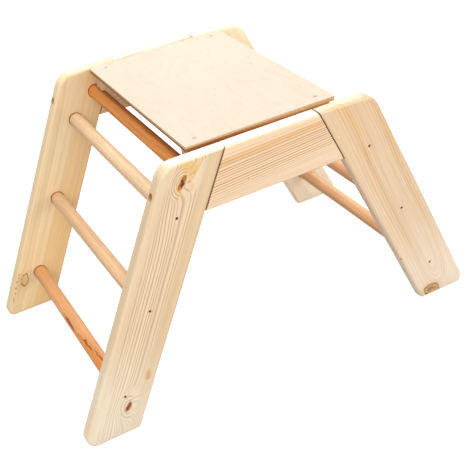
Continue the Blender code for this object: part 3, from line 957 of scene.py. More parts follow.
@NodeGroup
def fibre_group(place, seed):
    """Long streaks, fine fibres, short dark resin ducts and soft clouds along the grain."""
    return {
        "streak": place.noise((120, 120, 2.6), seed, detail=3).ramp(0.3, 0.7),
        "fibre": place.noise((1100, 1100, 26), seed).ramp(0.28, 0.72),
        "duct": place.noise((1300, 1300, 120), seed, detail=1).ramp(0.69, 0.76),
        "cloud": place.noise((14, 14, 4.5), seed).ramp(0.3, 0.7),
    }


@NodeGroup
def edge_group(facing):
    """Masks of the rounded arrises and of the end grain, from the direction a surface faces."""
    across, through, along = [abs(part) for part in facing.axes()]
    return {
        "arris": across.most(through).most(along).ramp(0.93, 0.74),
        "end_grain": along.ramp(0.55, 0.9),
    }


@NodeGroup
def wear_group(place, seed):
    """Traces of use: fine scratches and slightly darker handled patches."""
    marks = []
    for turn in SCRATCH_TURNS:
        turned_place = add_value(place.tree, "ShaderNodeVectorRotate", {"Vector": place, "Angle": turn})
        marks.append(turned_place.noise((1500, 1500, 24), seed, detail=1).ramp(0.73, 0.78))
    return {
        "scratch": marks[0].most(marks[1]) * place.noise((30, 30, 20), seed, detail=1).ramp(0.5, 0.65),
        "grime": place.noise((45, 45, 18), seed, detail=4, roughness=0.6).ramp(0.4, 0.7),
    }


@NodeGroup
def pine_group(
    place, facing, late_wood, faint_lines, ring_tone, contrast, warmth, bold_line, loop_line, loop_share,
    early_colour, late_colour, warm_colour, arris_colour, seed
):
    """Pine: pale early wood, tan late wood, warmer bands, fibres, painted shade on the rounded arrises, and
    end grain.
    """
    fibre = fibre_group(place, seed)
    edge = edge_group(facing)
    wear = wear_group(place, seed)
    colour = mix(warmth, early_colour, warm_colour).shaded(ring_tone.ramp(0, 1, 0.98, 1.02))
    colour = mix(faint_lines * 0.11, colour, late_colour)
    line = (late_wood * contrast * (1 - loop_share)).most(loop_line * 0.95).most(bold_line)
    colour = mix(line, colour, late_colour)
    colour = colour.shaded(fibre.streak.ramp(0, 1, 0.955, 1.035))
    colour = colour.shaded(fibre.fibre.ramp(0, 1, 0.97, 1.025))
    colour = mix(fibre.cloud * 0.14, colour, warm_colour)
    colour = mix(fibre.duct * 0.3, colour, late_colour)
    # Painted shade on the rounded arrises, in patches that follow the handling mask.
    colour = mix(edge.arris * wear.grime.ramp(0, 1, 0.1, 0.4), colour, arris_colour)
    colour = colour.shaded(edge.end_grain.ramp(0, 1, 1, 0.9))
    colour = colour.shaded(wear.scratch.ramp(0, 1, 1, 0.93))
    rough = late_wood * -0.08 + 0.44 + fibre.fibre * 0.1 + edge.arris * -0.05
    rough = rough + edge.end_grain * 0.16 + wear.grime * 0.05
    height = late_wood * contrast * 0.5 + fibre.fibre * 0.3 + fibre.duct * -0.8 + wear.scratch * -0.7
    return {"colour": colour, "roughness": rough, "height": height}


@NodeGroup
def beech_group(
    place, facing, base_colour, band_colour, deep_colour, fleck_colour, band, streak, streak_start,
    inner_side, shade, vein_distance, seed
):
    """Beech: warm wood with growth bands, dark streaks, many short ray flecks, dark seated ends and painted
    shade on the side toward the platform.
    """
    wear = wear_group(place, seed)
    _, _, along = place.axes()
    bands = place.noise((95, 95, 2.4), seed, detail=3).ramp(0.35, 0.72)
    colour = mix(bands * band, base_colour, band_colour)
    colour = colour.shaded(place.noise((24, 24, 5), seed).ramp(0.3, 0.7, 0.94, 1.05))
    streaks = place.noise((75, 75, 2.2), seed, detail=3, roughness=0.6).ramp(0.5, 0.62) * streak
    colour = mix(streaks * along.ramp(streak_start, STREAK_FULL), colour, fleck_colour)
    vein = vein_distance + place.noise((160, 160, 60), seed, detail=3) - 0.5
    beside = vein.ramp(-0.05, 0.15) * vein.ramp(3, 2) * along.ramp(VEIN_SIDE_END, 0)
    mottle = place.noise((90, 90, 45), seed, detail=3).ramp(0.35, 0.65, 0.35, 1)
    colour = mix(beside * mottle * 0.85, colour, deep_colour)
    blotch = place.noise((30, 30, 34), seed, detail=1).ramp(0.4, 0.62, 0.06, 0.24)
    core = abs(vein).ramp(blotch, blotch * 0.3) * along.ramp(VEIN_END, VEIN_FULL) * 0.9
    colour = mix(core, colour, fleck_colour)
    # Painted shade: the side toward the platform is darkened toward the fleck colour.
    colour = mix(inner_side.ramp(0.05, 0.95) * shade, colour, fleck_colour)
    fleck = place.noise((900, 900, 210), seed, detail=1).ramp(0.62, 0.72)
    colour = mix(fleck * 0.4, colour, fleck_colour)
    threads = place.noise((340, 340, 7), seed, detail=3).ramp(0.5, 0.68)
    colour = colour.shaded(threads * band * -0.24 + 1)
    pores = place.noise((1800, 1800, 90), seed, detail=1)
    colour = colour.shaded(pores.ramp(0.3, 0.7, 0.97, 1.02))
    colour = colour.shaded(wear.grime.ramp(0, 1, 1.01, 0.95))
    colour = mix(abs(along).ramp(SEAT_STAIN_START, SEAT_STAIN_FULL) * 0.8, colour, fleck_colour)
    rough = pores * 0.1 + 0.36 + edge_group(facing).end_grain * 0.18
    height = pores * 0.4 + fleck * -0.5 + wear.scratch * -0.8
    return {"colour": colour, "roughness": rough, "height": height}


@NodeGroup
def plywood_group(
    place, facing, ply_thickness, face_colour, figure_colour, fleck_colour, end_ply_colour, glue_colour, seed
):
    """Birch plywood: a calm peeled face veneer with pin flecks, and alternating plies at the edges, whose
    lower plies carry painted shade.
    """
    wear = wear_group(place, seed)
    level, _, upright = place.axes()
    waves = (place.noise((9, 2.6, 9), seed) * 14).lines(0.1, 0.9, 0.9)
    colour = mix(waves * 0.22, face_colour, figure_colour)
    fibre = place.noise((420, 12, 420), seed, detail=3)
    colour = colour.shaded(fibre.ramp(0.3, 0.7, 0.97, 1.02))
    cloud = place.noise((11, 7, 11), seed)
    colour = mix(cloud.ramp(0.45, 0.75, 0, 0.3), colour, figure_colour)
    curve = abs(place.noise((45, 24, 45), seed) - 0.5)
    area = place.noise((40, 40, 40), seed, detail=1)
    hair = curve.ramp(0.012, 0.004) * area.ramp(0.6, 0.68) * 0.3
    fleck = place.noise((190, 95, 190), seed, detail=3, roughness=0.6).ramp(0.665, 0.74)
    fleck = (fleck * 0.42).most(hair)
    colour = mix(fleck, colour, fleck_colour).shaded(wear.scratch.ramp(0, 1, 1, 0.94))
    down = upright * -1
    layer = down / ply_thickness
    odd = work("PINGPONG", work("FLOOR", layer), 1)
    within = work("FRACT", layer)
    side_grain = place.noise((500, 500, 900), seed)
    # Painted shade on the lower plies of the edges, darkest toward the left end and golden toward the right,
    # as if the gap under the board were in shadow.
    stain = mix(level.ramp(PLY_STAIN_START, PLY_STAIN_END), glue_colour, end_ply_colour)
    lower = (down / BOARD_THICKNESS).ramp(0.3, 0.6, 0, 0.92)
    ply = mix(lower, mix(odd, face_colour, end_ply_colour), stain)
    ply = ply.shaded(side_grain.ramp(0.3, 0.7, 0.84, 1.06))
    glue = within.ramp(0.14, 0.03).most(within.ramp(0.86, 0.97))
    ply = mix(glue * 0.6, ply, glue_colour)
    side = abs(facing.axes()[2]).ramp(0.8, 0.5)
    rough = fibre * 0.08 + 0.62 + side * 0.1
    height = fibre * 0.3 + fleck * -0.5 + wear.scratch * -0.9 + side * (odd * -0.5 + side_grain)
    return {"colour": mix(side, colour, ply), "roughness": rough, "height": height}


@NodeGroup
def steel_group(place, bright_colour, dull_colour, seed):
    """Steel with a mottled coat and fine scratches."""
    mottle = place.noise((700, 700, 700), seed, detail=4)
    scratch = place.noise((400, 6000, 6000), seed, detail=1).ramp(0.6, 0.68)
    colour = mix(mottle.ramp(0.3, 0.7), bright_colour, dull_colour)
    return {
        "colour": colour.shaded(scratch.ramp(0, 1, 1, 1.25)),
        "roughness": mottle * 0.3 + 0.4 + scratch * -0.1,
        "height": scratch * -1,
    }


@NodeGroup
def bores_group(place):
    """Dark rims and walls of the legs' sockets, nail holes and counterbores."""
    x, y, z = place.axes()
    away = abs(x)
    aside = abs(y)
    rungs = [hypotenuse(away - distance, z - height) for distance, height in rung_places()]
    nail = rungs[0].least(rungs[1]).least(rungs[2])
    inner = work("LESS_THAN", aside, PANEL_MIDDLE)
    socket_rim = RUNG_RADIUS + SEAT_GAP
    nail_rim = NAIL_HEAD_RADIUS + SEAT_GAP
    socket = nail.least(rungs[3]).ramp(socket_rim + BORE_STAIN, socket_rim) * inner
    nail = nail.ramp(nail_rim + BORE_STAIN, nail_rim) * (1 - inner)
    counterbore = hypotenuse(aside - PANEL_MIDDLE, z - BEAM_SCREW_HEIGHT)
    counterbore = counterbore.ramp(COUNTERBORE_RADIUS + BORE_STAIN, COUNTERBORE_RADIUS)
    return {"bore": socket.most(nail).most(counterbore)}


@NodeGroup
def joint_group(place):
    """Dark lines on both sides of the joints between the beams and the legs, wider and darker at the right
    joints as painted shade, and the mask of the panels' tops for a painted highlight.
    """
    x, y, z = place.axes()
    drop = PANEL_HEIGHT - z
    end = drop * LEAN_SLOPE + BEAM_TOP_LENGTH / 2
    right = work("GREATER_THAN", x, 0)
    # At the right joints the dark line is widened: painted shade over the dark joint line.
    inside = (end - abs(x)) * math.cos(LEG_LEAN) / right.ramp(0, 1, 1, RIGHT_JOINT_WIDTH)
    near = y.ramp(0, -PANEL_MIDDLE, FAR_JOINT_SHARE, 1)
    leg_side = inside.ramp(-JOINT_LEG_STAIN, -JOINT_LEG_STAIN / 3)
    return {
        "beam_side": inside.ramp(JOINT_BEAM_STAIN, JOINT_BEAM_STAIN / 3) * near,
        "leg_side": leg_side * work("LESS_THAN", drop, BEAM_DEPTH) * near,
        "right": right,
        # Mask of the panels' tops, for the painted highlight that pales them.
        "top": drop.ramp(PALE_TOP_DEPTH, PALE_TOP_DEPTH / 6),
    }


# Numbers that the materials use
FADE_START = -20 * MM
FADE_END = -250 * MM
BORE_DARKNESS = 0.85
JOINT_DARKNESS = 0.95
INNER_SIDE_LEVEL = 0.85
INNER_SIDE_RISE = 0.52
FAR_AWAY = 9
BAND_SHADE = 0.85
PLYWOOD_SEED = 17.3
STEEL_RELIEF = 0.02 * MM
LACQUER_ROUGHNESS = 0.28
PINE_SPECULAR = 0.25
BEECH_SPECULAR = 0.14
PLYWOOD_SPECULAR = 0.2


def blend(first, second, share):
    """A colour between two."""
    return [a + (b - a) * share for a, b in zip(first, second)]


def tinted(colour, tint):
    """A colour multiplied by a tint."""
    return [a * b for a, b in zip(colour, tint)]


def new_material(name):
    """An empty material and its shader."""
    material = bpy.data.materials.new(name)
    material.use_nodes = True
    return material, material.node_tree.nodes["Principled BSDF"]


def object_place(tree):
    """Place of a point and the direction its surface faces, in the piece's own object."""
    outputs = add_node(tree, "ShaderNodeTexCoord").outputs
    return Value(outputs["Object"]), Value(outputs["Normal"])


def own_axes(shader, origin, turn):
    """Place of a point and the direction its surface faces, in the axes of one piece of wood."""
    tree = shader.id_data
    place, facing = object_place(tree)
    inputs = {"Vector": place, "Location": origin, "Rotation": turn}
    place = add_value(tree, "ShaderNodeMapping", inputs, vector_type="TEXTURE")
    inputs = {"Vector": facing, "Rotation": turn}
    return place, add_value(tree, "ShaderNodeMapping", inputs, vector_type="TEXTURE")


def connect_shader(shader, finish, relief, settings):
    """Lead colour, roughness and relief to the shader, and set its other inputs."""
    bump = {"Strength": 1, "Distance": relief, "Height": finish.height}
    normal = add_value(shader.id_data, "ShaderNodeBump", bump)
    inputs = {"Base Color": finish.colour, "Roughness": finish.roughness, "Normal": normal}
    for name, value in (inputs | settings).items():
        lead(value, shader.inputs[name])


def pine_material(name, origin, turn, grain, look, joined_as=None):
    """Pine for one board, with the board's own rings and knots."""
    material, shader = new_material(name)
    place, facing = own_axes(shader, origin, turn)
    _, _, along = place.axes()
    push = 0
    swell = 0
    loop_line = 0
    loop_share = 0
    distances = []
    for knot in grain.knots:
        around = knot_place_group(
            place, knot.across * MM, knot.along * MM, knot.radius * MM, knot.stretch, math.radians(knot.turn),
            knot.slant, knot.flow, knot.bend, knot.swell * MM, knot.seed
        )
        distances.append(around.distance)
        push = around.push + push
        swell = around.swell + swell
        if knot.ring_gap > 0:
            found = knot_rings_group(
                place, around.away, around.wide, around.long, knot.ring_gap * MM, knot.ring_reach * MM,
                knot.ring_side * MM, knot.ring_top * MM, knot.seed
            )
            loop_line = found.line.most(loop_line)
            loop_share = found.share.most(loop_share)
    growth = growth_rings_group(
        place, push, swell, along.path(grain.pith_across, MM), along.path(grain.pith_depth, MM),
        grain.ring_width * MM, grain.wander * MM, grain.seed
    )
    bands = growth.radius if grain.by_radius else growth.flat
    bold_line = 0
    for middle, half_width, strength in grain.lines:
        bold_line = abs(bands - middle * MM).ramp(half_width * MM, 0, 0, strength).most(bold_line)
    warmth = along * grain.warmth_rise + bands.path(grain.warmth)
    warm_colour = tinted(blend(look.heart_colour, look.ochre_colour, grain.ochre), grain.tint)
    finish = pine_group(
        place, facing, growth.late_wood, growth.faint_lines, growth.ring_tone, bands.path(grain.contrast),
        warmth, bold_line, loop_line, loop_share, tinted(look.early_colour, grain.tint),
        tinted(look.late_colour, grain.line_tint), warm_colour, look.arris_colour, grain.seed
    )
    colour = finish.colour
    # Paler toward the foot: partly paler wood, partly painted light standing in for the bounce from the white
    # floor.
    if grain.fade > 0:
        colour = mix(along.ramp(FADE_START, FADE_END) * grain.fade, colour, look.faded_colour)
    for knot, distance in zip(grain.knots, distances):
        if knot.stain > 0 or knot.halo > 0:
            colour = knot_stain_group(
                colour, place, distance, knot.halo, knot.stain, knot.rim, knot.heart, look.halo_colour,
                look.knot_colour, look.bark_colour, knot.seed
            ).colour
    coat = look.lacquer
    if joined_as is not None:
        panel_place, _ = object_place(material.node_tree)
        joint = joint_group(panel_place)
        if joined_as == "leg":
            colour = mix(bores_group(panel_place).bore * BORE_DARKNESS, colour, look.bore_colour)
        # Painted highlight: the panel's top is mixed toward a pale colour, as if brightly lit from above.
        if grain.top_fade > 0:
            colour = mix(joint.top * grain.top_fade, colour, look.faded_colour)
        side = joint.leg_side if joined_as == "leg" else joint.beam_side
        coat = side * -look.lacquer + look.lacquer
        # The seam colour is deepest at the right joints: painted shade over the dark joint line.
        seam = mix(joint.right.ramp(0, 1, 0.5, 1), look.bore_colour, look.seam_colour)
        colour = mix(side * JOINT_DARKNESS, colour, seam)
    finish.colour = colour
    settings = {"Coat Weight": coat, "Coat Roughness": LACQUER_ROUGHNESS, "Specular IOR Level": PINE_SPECULAR}
    connect_shader(shader, finish, look.relief, settings)
    return material


def beech_material(name, origin, end, seed, tone, look):
    """Beech for one rung."""
    material, shader = new_material(name)
    place, facing = own_axes(shader, origin, (-math.pi / 2, 0, 0))
    level, down, along = place.axes()
    inner = (level * (-end * INNER_SIDE_LEVEL) + down * -INNER_SIDE_RISE) / RUNG_RADIUS
    vein_distance = FAR_AWAY
    if tone.vein:
        vein_distance = inner * -1 - along.path(tone.vein)
    base = blend(look.base_colour, look.deep_colour, tone.depth)
    finish = beech_group(
        place, facing, base, [part * BAND_SHADE for part in base], look.deep_colour, look.fleck_colour,
        tone.band, tone.streak, tone.streak_start * MM, inner, tone.shade, vein_distance, seed
    )
    settings = {"Coat Weight": look.lacquer, "Coat Roughness": LACQUER_ROUGHNESS}
    settings["Specular IOR Level"] = BEECH_SPECULAR
    connect_shader(shader, finish, look.relief, settings)
    return material


def plywood_material(name, look):
    """Birch plywood for the platform's board."""
    material, shader = new_material(name)
    place, facing = own_axes(shader, (0, 0, BOARD_TOP), (0, 0, 0))
    finish = plywood_group(
        place, facing, BOARD_THICKNESS / look.plies, look.face_colour, look.figure_colour, look.fleck_colour,
        look.end_ply_colour, look.glue_colour, PLYWOOD_SEED
    )
    connect_shader(shader, finish, look.relief, {"Specular IOR Level": PLYWOOD_SPECULAR})
    return material


def steel_material(name, bright, dull, seed):
    """Steel of a nail or a screw."""
    material, shader = new_material(name)
    place, _ = own_axes(shader, (0, 0, 0), (0, 0, 0))
    connect_shader(shader, steel_group(place, bright, dull, seed), STEEL_RELIEF, {"Metallic": 1})
    return material


def leg_blank(rounding, toe_radius):
    """The near left leg before it is bored, rounded along all its arrises."""
    top = PANEL_HEIGHT
    head = -BEAM_TOP_LENGTH / 2
    foot = -leg_inner_edge(0)
    near = -PANEL_OUTER_FACE
    shape = bmesh.new()
    corners = [
        (Vector((head, near, top)), 0),
        (Vector((head - LEG_LEVEL_WIDTH, near, top)), SHOULDER_RADIUS),
        (Vector((foot - LEG_LEVEL_WIDTH, near, 0)), toe_radius),
        (Vector((foot, near, 0)), HEEL_RADIUS),
    ]
    thickened(shape, rounded_face(shape, corners), (0, STOCK_THICKNESS, 0))
    rounded_edges(shape, face_border(shape, ALONG_Y), rounding, ROUND_STEPS)
    return shape


def socket_cutters(ease):
    """Cutters of the near left leg's rung sockets, flared at the mouth."""
    mouth = SOCKET_DEPTH
    radius = RUNG_RADIUS + SEAT_GAP
    profile = (
        (0, 0),
        (radius, 0),
        (radius, mouth - ease),
        (radius + ease + CUT_OVERRUN, mouth + CUT_OVERRUN),
        (0, mouth + CUT_OVERRUN),
    )
    cutters = []
    for distance, height in rung_places():
        cutters.append(drill(profile, (-distance, -PANEL_GAP / 2 - SOCKET_DEPTH, height), ALONG_Y))
    return merged(cutters)


def fastener_cutters(ease):
    """Cutters of the near left leg's nail holes and of its counterbored screw hole."""
    shank = NAIL_RADIUS + SEAT_GAP
    mouth = NAIL_HEAD_RADIUS + SEAT_GAP
    mouth_depth = NAIL_SINK + NAIL_HEAD_THICKNESS + SEAT_GAP
    depth = STOCK_THICKNESS - SOCKET_DEPTH + CUT_OVERRUN
    profile = (
        (0, -CUT_OVERRUN),
        (mouth + ease + CUT_OVERRUN, -CUT_OVERRUN),
        (mouth, ease),
        (mouth, mouth_depth),
        (shank, mouth_depth),
        (shank, depth),
        (0, depth),
    )
    cutters = []
    for distance, height in rung_places()[:LEG_RUNG_COUNT]:
        cutters.append(drill(profile, (-distance, -PANEL_OUTER_FACE, height), ALONG_Y))
    profile = (
        (0, -CUT_OVERRUN),
        (COUNTERBORE_RADIUS, -CUT_OVERRUN),
        (COUNTERBORE_RADIUS, COUNTERBORE_DEPTH),
        (SCREW_HOLE_RADIUS, COUNTERBORE_DEPTH),
        (SCREW_HOLE_RADIUS, LEG_LEVEL_WIDTH + CUT_OVERRUN),
        (0, LEG_LEVEL_WIDTH + CUT_OVERRUN),
    )
    outer_edge = leg_inner_edge(BEAM_SCREW_HEIGHT) + LEG_LEVEL_WIDTH
    cutters.append(drill(profile, (-outer_edge, -PANEL_MIDDLE, BEAM_SCREW_HEIGHT), (1, 0, 0)))
    return merged(cutters)


def leg_axes(end, side):
    """Origin and turn of a leg's own axes: across it, through it and up along it."""
    middle_height = PANEL_HEIGHT / 2
    middle = leg_inner_edge(middle_height) + LEG_LEVEL_WIDTH / 2
    return (end * middle, side * PANEL_MIDDLE, middle_height), (0, -end * LEG_LEAN, 0)


def beam_shape(rounding, end_ease):
    """The near beam with slanted ends, bored for its screws."""
    near = -PANEL_OUTER_FACE
    half_top = BEAM_TOP_LENGTH / 2 - SEAT_GAP / math.cos(LEG_LEAN)
    half_bottom = half_top + BEAM_DEPTH * LEAN_SLOPE
    bottom = PANEL_HEIGHT - BEAM_DEPTH
    corners = (
        (Vector((-half_top, near, PANEL_HEIGHT)), 0),
        (Vector((-half_bottom, near, bottom)), 0),
        (Vector((half_bottom, near, bottom)), 0),
        (Vector((half_top, near, PANEL_HEIGHT)), 0),
    )
    shape = bmesh.new()
    thickened(shape, rounded_face(shape, corners), (0, STOCK_THICKNESS, 0))
    long_edges = [edge for edge in face_border(shape, ALONG_Y) if edge.verts[0].co.z == edge.verts[1].co.z]
    rounded_edges(shape, long_edges, rounding, ROUND_STEPS)
    end_edges = set()
    for face in shape.faces:
        level = abs(face.normal.y) < math.sin(SMOOTH_ANGLE / ROUND_STEPS / 2)
        if level and abs(face.normal.x) > abs(face.normal.z):
            end_edges.update(face.edges)
    rounded_edges(shape, end_edges, end_ease, EASE_STEPS)
    profile = screw_hole(SCREW_HOLE_RADIUS, BEAM_SCREW_BITE, BEAM_SCREW_POINT, BEAM_SCREW_RADIUS)
    holes = []
    for _, end in ENDS:
        mouth = (end * leg_inner_edge(BEAM_SCREW_HEIGHT), -PANEL_MIDDLE, BEAM_SCREW_HEIGHT)
        holes.append(drill(profile, mouth, (-end, 0, 0)))
    return carved(shape, [merged(holes)])


def rung_shape(chamfer, nailed):
    """A rod along Z with eased ends, bored for a nail in each end where it is nailed."""
    half = [(RUNG_RADIUS, RUNG_HALF_LENGTH - chamfer), (RUNG_RADIUS - chamfer, RUNG_HALF_LENGTH)]
    if nailed:
        hole = NAIL_RADIUS + SEAT_GAP
        half.append((hole, RUNG_HALF_LENGTH))
        half.append((hole, RUNG_HALF_LENGTH - NAIL_BITE + NAIL_POINT))
        half.append((0, RUNG_HALF_LENGTH - NAIL_BITE - SEAT_GAP * NAIL_POINT / NAIL_RADIUS))
    else:
        half.append((0, RUNG_HALF_LENGTH))
    other_half = [(radius, -along) for radius, along in reversed(half)]
    return turned(other_half + half, ROD_SIDES)


def nail_shape():
    """A round nail along +Z whose flat head has a worn rim."""
    rim = NAIL_HEAD_THICKNESS / EASE_STEPS
    tip = STOCK_THICKNESS - SOCKET_DEPTH - NAIL_SINK + SEAT_GAP + NAIL_BITE
    profile = (
        (0, 0),
        (NAIL_HEAD_RADIUS - rim, 0),
        (NAIL_HEAD_RADIUS, rim),
        (NAIL_HEAD_RADIUS, NAIL_HEAD_THICKNESS),
        (NAIL_RADIUS, NAIL_HEAD_THICKNESS),
        (NAIL_RADIUS, tip - NAIL_POINT),
        (0, tip),
    )
    return turned(profile, BORE_SIDES)


def beam_screw_shape():
    """A long screw along +Z with a domed head and a hexagonal recess."""
    seat = BEAM_SCREW_HEAD_HEIGHT
    tip = seat + LEG_LEVEL_WIDTH - COUNTERBORE_DEPTH + BEAM_SCREW_BITE + SEAT_GAP
    dome = []
    for step in range(ROUND_STEPS + 1):
        turn = math.pi / 2 * step / ROUND_STEPS
        rise = BEAM_SCREW_DOME_HEIGHT * (1 - math.cos(turn))
        dome.append((BEAM_SCREW_HEAD_RADIUS * math.sin(turn), rise))
    profile = (
        *dome,
        (BEAM_SCREW_HEAD_RADIUS, seat),
        (BEAM_SCREW_RADIUS, seat),
        (BEAM_SCREW_RADIUS, tip - BEAM_SCREW_POINT),
        (0, tip),
    )
    recess = bmesh.new()
    made = bmesh.ops.create_circle(recess, cap_ends=True, segments=HEX_SIDES, radius=BEAM_SCREW_HEX_RADIUS)
    bmesh.ops.translate(recess, verts=made["verts"], vec=(0, 0, BEAM_SCREW_HEX_DEPTH))
    thickened(recess, recess.faces[:][0], (0, 0, -BEAM_SCREW_HEX_DEPTH - CUT_OVERRUN))
    return carved(turned(profile, BORE_SIDES), [recess])


def cross_cutter():
    """Cutter of a cross recess: two crossed bars along +Z."""
    bars = []
    for index in range(CROSS_ARMS // 2):
        bar = bmesh.new()
        bmesh.ops.create_cube(bar, size=1)
        bmesh.ops.scale(bar, vec=(CROSS_LENGTH, CROSS_WIDTH, 2 * CROSS_DEPTH), verts=bar.verts)
        turn = Matrix.Rotation(math.tau * index / CROSS_ARMS, 3, "Z")
        bmesh.ops.rotate(bar, cent=(0, 0, 0), matrix=turn, verts=bar.verts)
        bars.append(bar)
    return bars


def board_screw_shape():
    """A countersunk screw along +Z with a cross recess."""
    tip = BOARD_THICKNESS + SEAT_GAP + BOARD_SCREW_BITE
    profile = (
        (0, 0),
        (BOARD_SCREW_HEAD_RADIUS, 0),
        (BOARD_SCREW_HEAD_RADIUS, BOARD_SCREW_RIM),
        (BOARD_SCREW_RADIUS, BOARD_SCREW_RIM + BOARD_SCREW_HEAD_RADIUS - BOARD_SCREW_RADIUS),
        (BOARD_SCREW_RADIUS, tip - BOARD_SCREW_POINT),
        (0, tip),
    )
    return carved(turned(profile, BORE_SIDES), cross_cutter())


def board_shape(edge_ease, hole_ease):
    """The platform's board with eased edges and countersunk holes."""
    half_length = board_half_length()
    corners = []
    for along, across in ((-1, -1), (1, -1), (1, 1), (-1, 1)):
        corner = Vector((along * half_length, across * BOARD_HALF_WIDTH, BOARD_TOP))
        corners.append((corner, BOARD_CORNER_RADIUS))
    shape = bmesh.new()
    thickened(shape, rounded_face(shape, corners), (0, 0, -BOARD_THICKNESS))
    rounded_edges(shape, face_border(shape, DOWN), edge_ease, EASE_STEPS)
    mouth = BOARD_SCREW_HEAD_RADIUS + SEAT_GAP
    shank = BOARD_SCREW_RADIUS + SEAT_GAP
    rim = BOARD_SCREW_RIM + SEAT_GAP
    profile = (
        (0, -CUT_OVERRUN),
        (mouth + hole_ease, -CUT_OVERRUN),
        (mouth + hole_ease, 0),
        (mouth, hole_ease),
        (mouth, rim),
        (shank, rim + mouth - shank),
        (shank, BOARD_THICKNESS + CUT_OVERRUN),
        (0, BOARD_THICKNESS + CUT_OVERRUN),
    )
    return carved(shape, [merged([drill(profile, head, DOWN) for head in board_screw_heads()])])


def batten_shape(ease):
    """The near batten, notched at both ends to sit on the top rungs."""
    near = -BATTEN_MIDDLE - STOCK_THICKNESS / 2
    notch_radius = RUNG_RADIUS + SEAT_GAP
    rung = top_rung_distance()
    waist = rung - notch_radius
    bottom = BATTEN_TOP - BATTEN_HEIGHT
    shape = bmesh.new()
    outline = []
    for end in (1, -1):
        low = Vector((end * waist, near, bottom))
        seat = Vector((end * waist, near, TOP_RUNG_HEIGHT))
        axis = Vector((end * rung, near, TOP_RUNG_HEIGHT))
        rise = math.sqrt(notch_radius**2 - BATTEN_END_INSET**2)
        ear = axis + Vector((-end * BATTEN_END_INSET, 0, rise))
        middle = Vector((0, near, bottom))
        half = rounded_corner(shape, middle, low, seat, BATTEN_CORNER_RADIUS)
        half += spun_arc(shape, seat, ear, axis)
        half.append(shape.verts.new((ear.x, near, BATTEN_TOP)))
        outline += half if end > 0 else half[::-1]
    thickened(shape, shape.faces.new(outline), (0, STOCK_THICKNESS, 0))
    rounded_edges(shape, face_border(shape, ALONG_Y), ease, EASE_STEPS)
    radius = BOARD_SCREW_RADIUS + SEAT_GAP
    profile = screw_hole(radius, BOARD_SCREW_BITE, BOARD_SCREW_POINT, BOARD_SCREW_RADIUS)
    mouths = [(head.x, head.y, BATTEN_TOP) for head in board_screw_heads()[:len(ENDS)]]
    return carved(shape, [merged([drill(profile, mouth, DOWN) for mouth in mouths])])


def colour_setting(name, description, default):
    """A colour that a user may change."""
    return bpy.props.FloatVectorProperty(
        name=name, description=description, default=default, min=0, max=1, size=3, subtype="COLOR"
    )


def number_setting(name, description, default, **options):
    """A number that a user may change."""
    return bpy.props.FloatProperty(name=name, description=description, default=default, min=0, **options)


def length_setting(name, description, default):
    """A length that a user may change."""
    return number_setting(name, description, default, precision=5, unit="LENGTH")


class LadderPine(bpy.types.PropertyGroup):
    """Shape details and colours of the pine panels and battens."""

    rounding: length_setting("Arris rounding", "Radius of the panels' rounded arrises", 7 * MM)
    end_ease: length_setting("Beam end ease", "Rounding at the ends of the beams", 2 * MM)
    batten_ease: length_setting("Batten ease", "Rounding of the battens' arrises", 1.2 * MM)
    hole_ease: length_setting("Hole ease", "Flare at the mouths of sockets and holes", 0.7 * MM)
    relief: length_setting("Relief", "Depth of the grain's relief", 0.12 * MM)
    lacquer: number_setting("Lacquer", "How much clear lacquer covers the wood", 0.5, max=1)
    early_colour: colour_setting("Early wood", "Pale wood between the growth lines", (0.76, 0.59, 0.42))
    late_colour: colour_setting("Late wood", "Darker growth lines", (0.46, 0.25, 0.09))
    heart_colour: colour_setting("Heartwood", "Pinkish tan wood near the pith", (0.67, 0.475, 0.29))
    ochre_colour: colour_setting("Ochre", "Orange bands of resinous wood", (0.71, 0.43, 0.19))
    arris_colour: colour_setting("Arris", "Painted shade along the rounded arrises, patchy where handled", (0.74, 0.63, 0.46))
    faded_colour: colour_setting("Pale wood and highlight", "Pale wood toward the feet, and the painted highlight on the panels' tops", (0.90, 0.86, 0.75))
    halo_colour: colour_setting("Knot halo", "Stained wood round a knot", (0.71, 0.42, 0.12))
    knot_colour: colour_setting("Knot", "Wood of a knot", (0.48, 0.155, 0.02))
    bore_colour: colour_setting("Bore", "Dark rims of sockets, holes and joints", (0.44, 0.20, 0.06))
    seam_colour: colour_setting("Seam", "Dark joint line, deepened as painted shade at the beams' right joints", (0.13, 0.03, 0.006))
    bark_colour: colour_setting("Bark", "Dark rim and cracks of a knot", (0.12, 0.02, 0.004))


class LadderBeech(bpy.types.PropertyGroup):
    """Shape details and colours of the beech rungs."""

    chamfer: length_setting("End chamfer", "Chamfer at the ends of the rungs", 1.5 * MM)
    relief: length_setting("Relief", "Depth of the pores' relief", 0.06 * MM)
    lacquer: number_setting("Lacquer", "How much clear lacquer covers the wood", 0.08, max=1)
    base_colour: colour_setting("Beech", "Palest of the rungs", (0.75, 0.52, 0.31))
    deep_colour: colour_setting("Deep beech", "Most orange of the rungs", (0.72, 0.235, 0.02))
    fleck_colour: colour_setting("Fleck", "Ray flecks, dark streaks, and painted shade on the side toward the platform", (0.36, 0.06, 0.004))


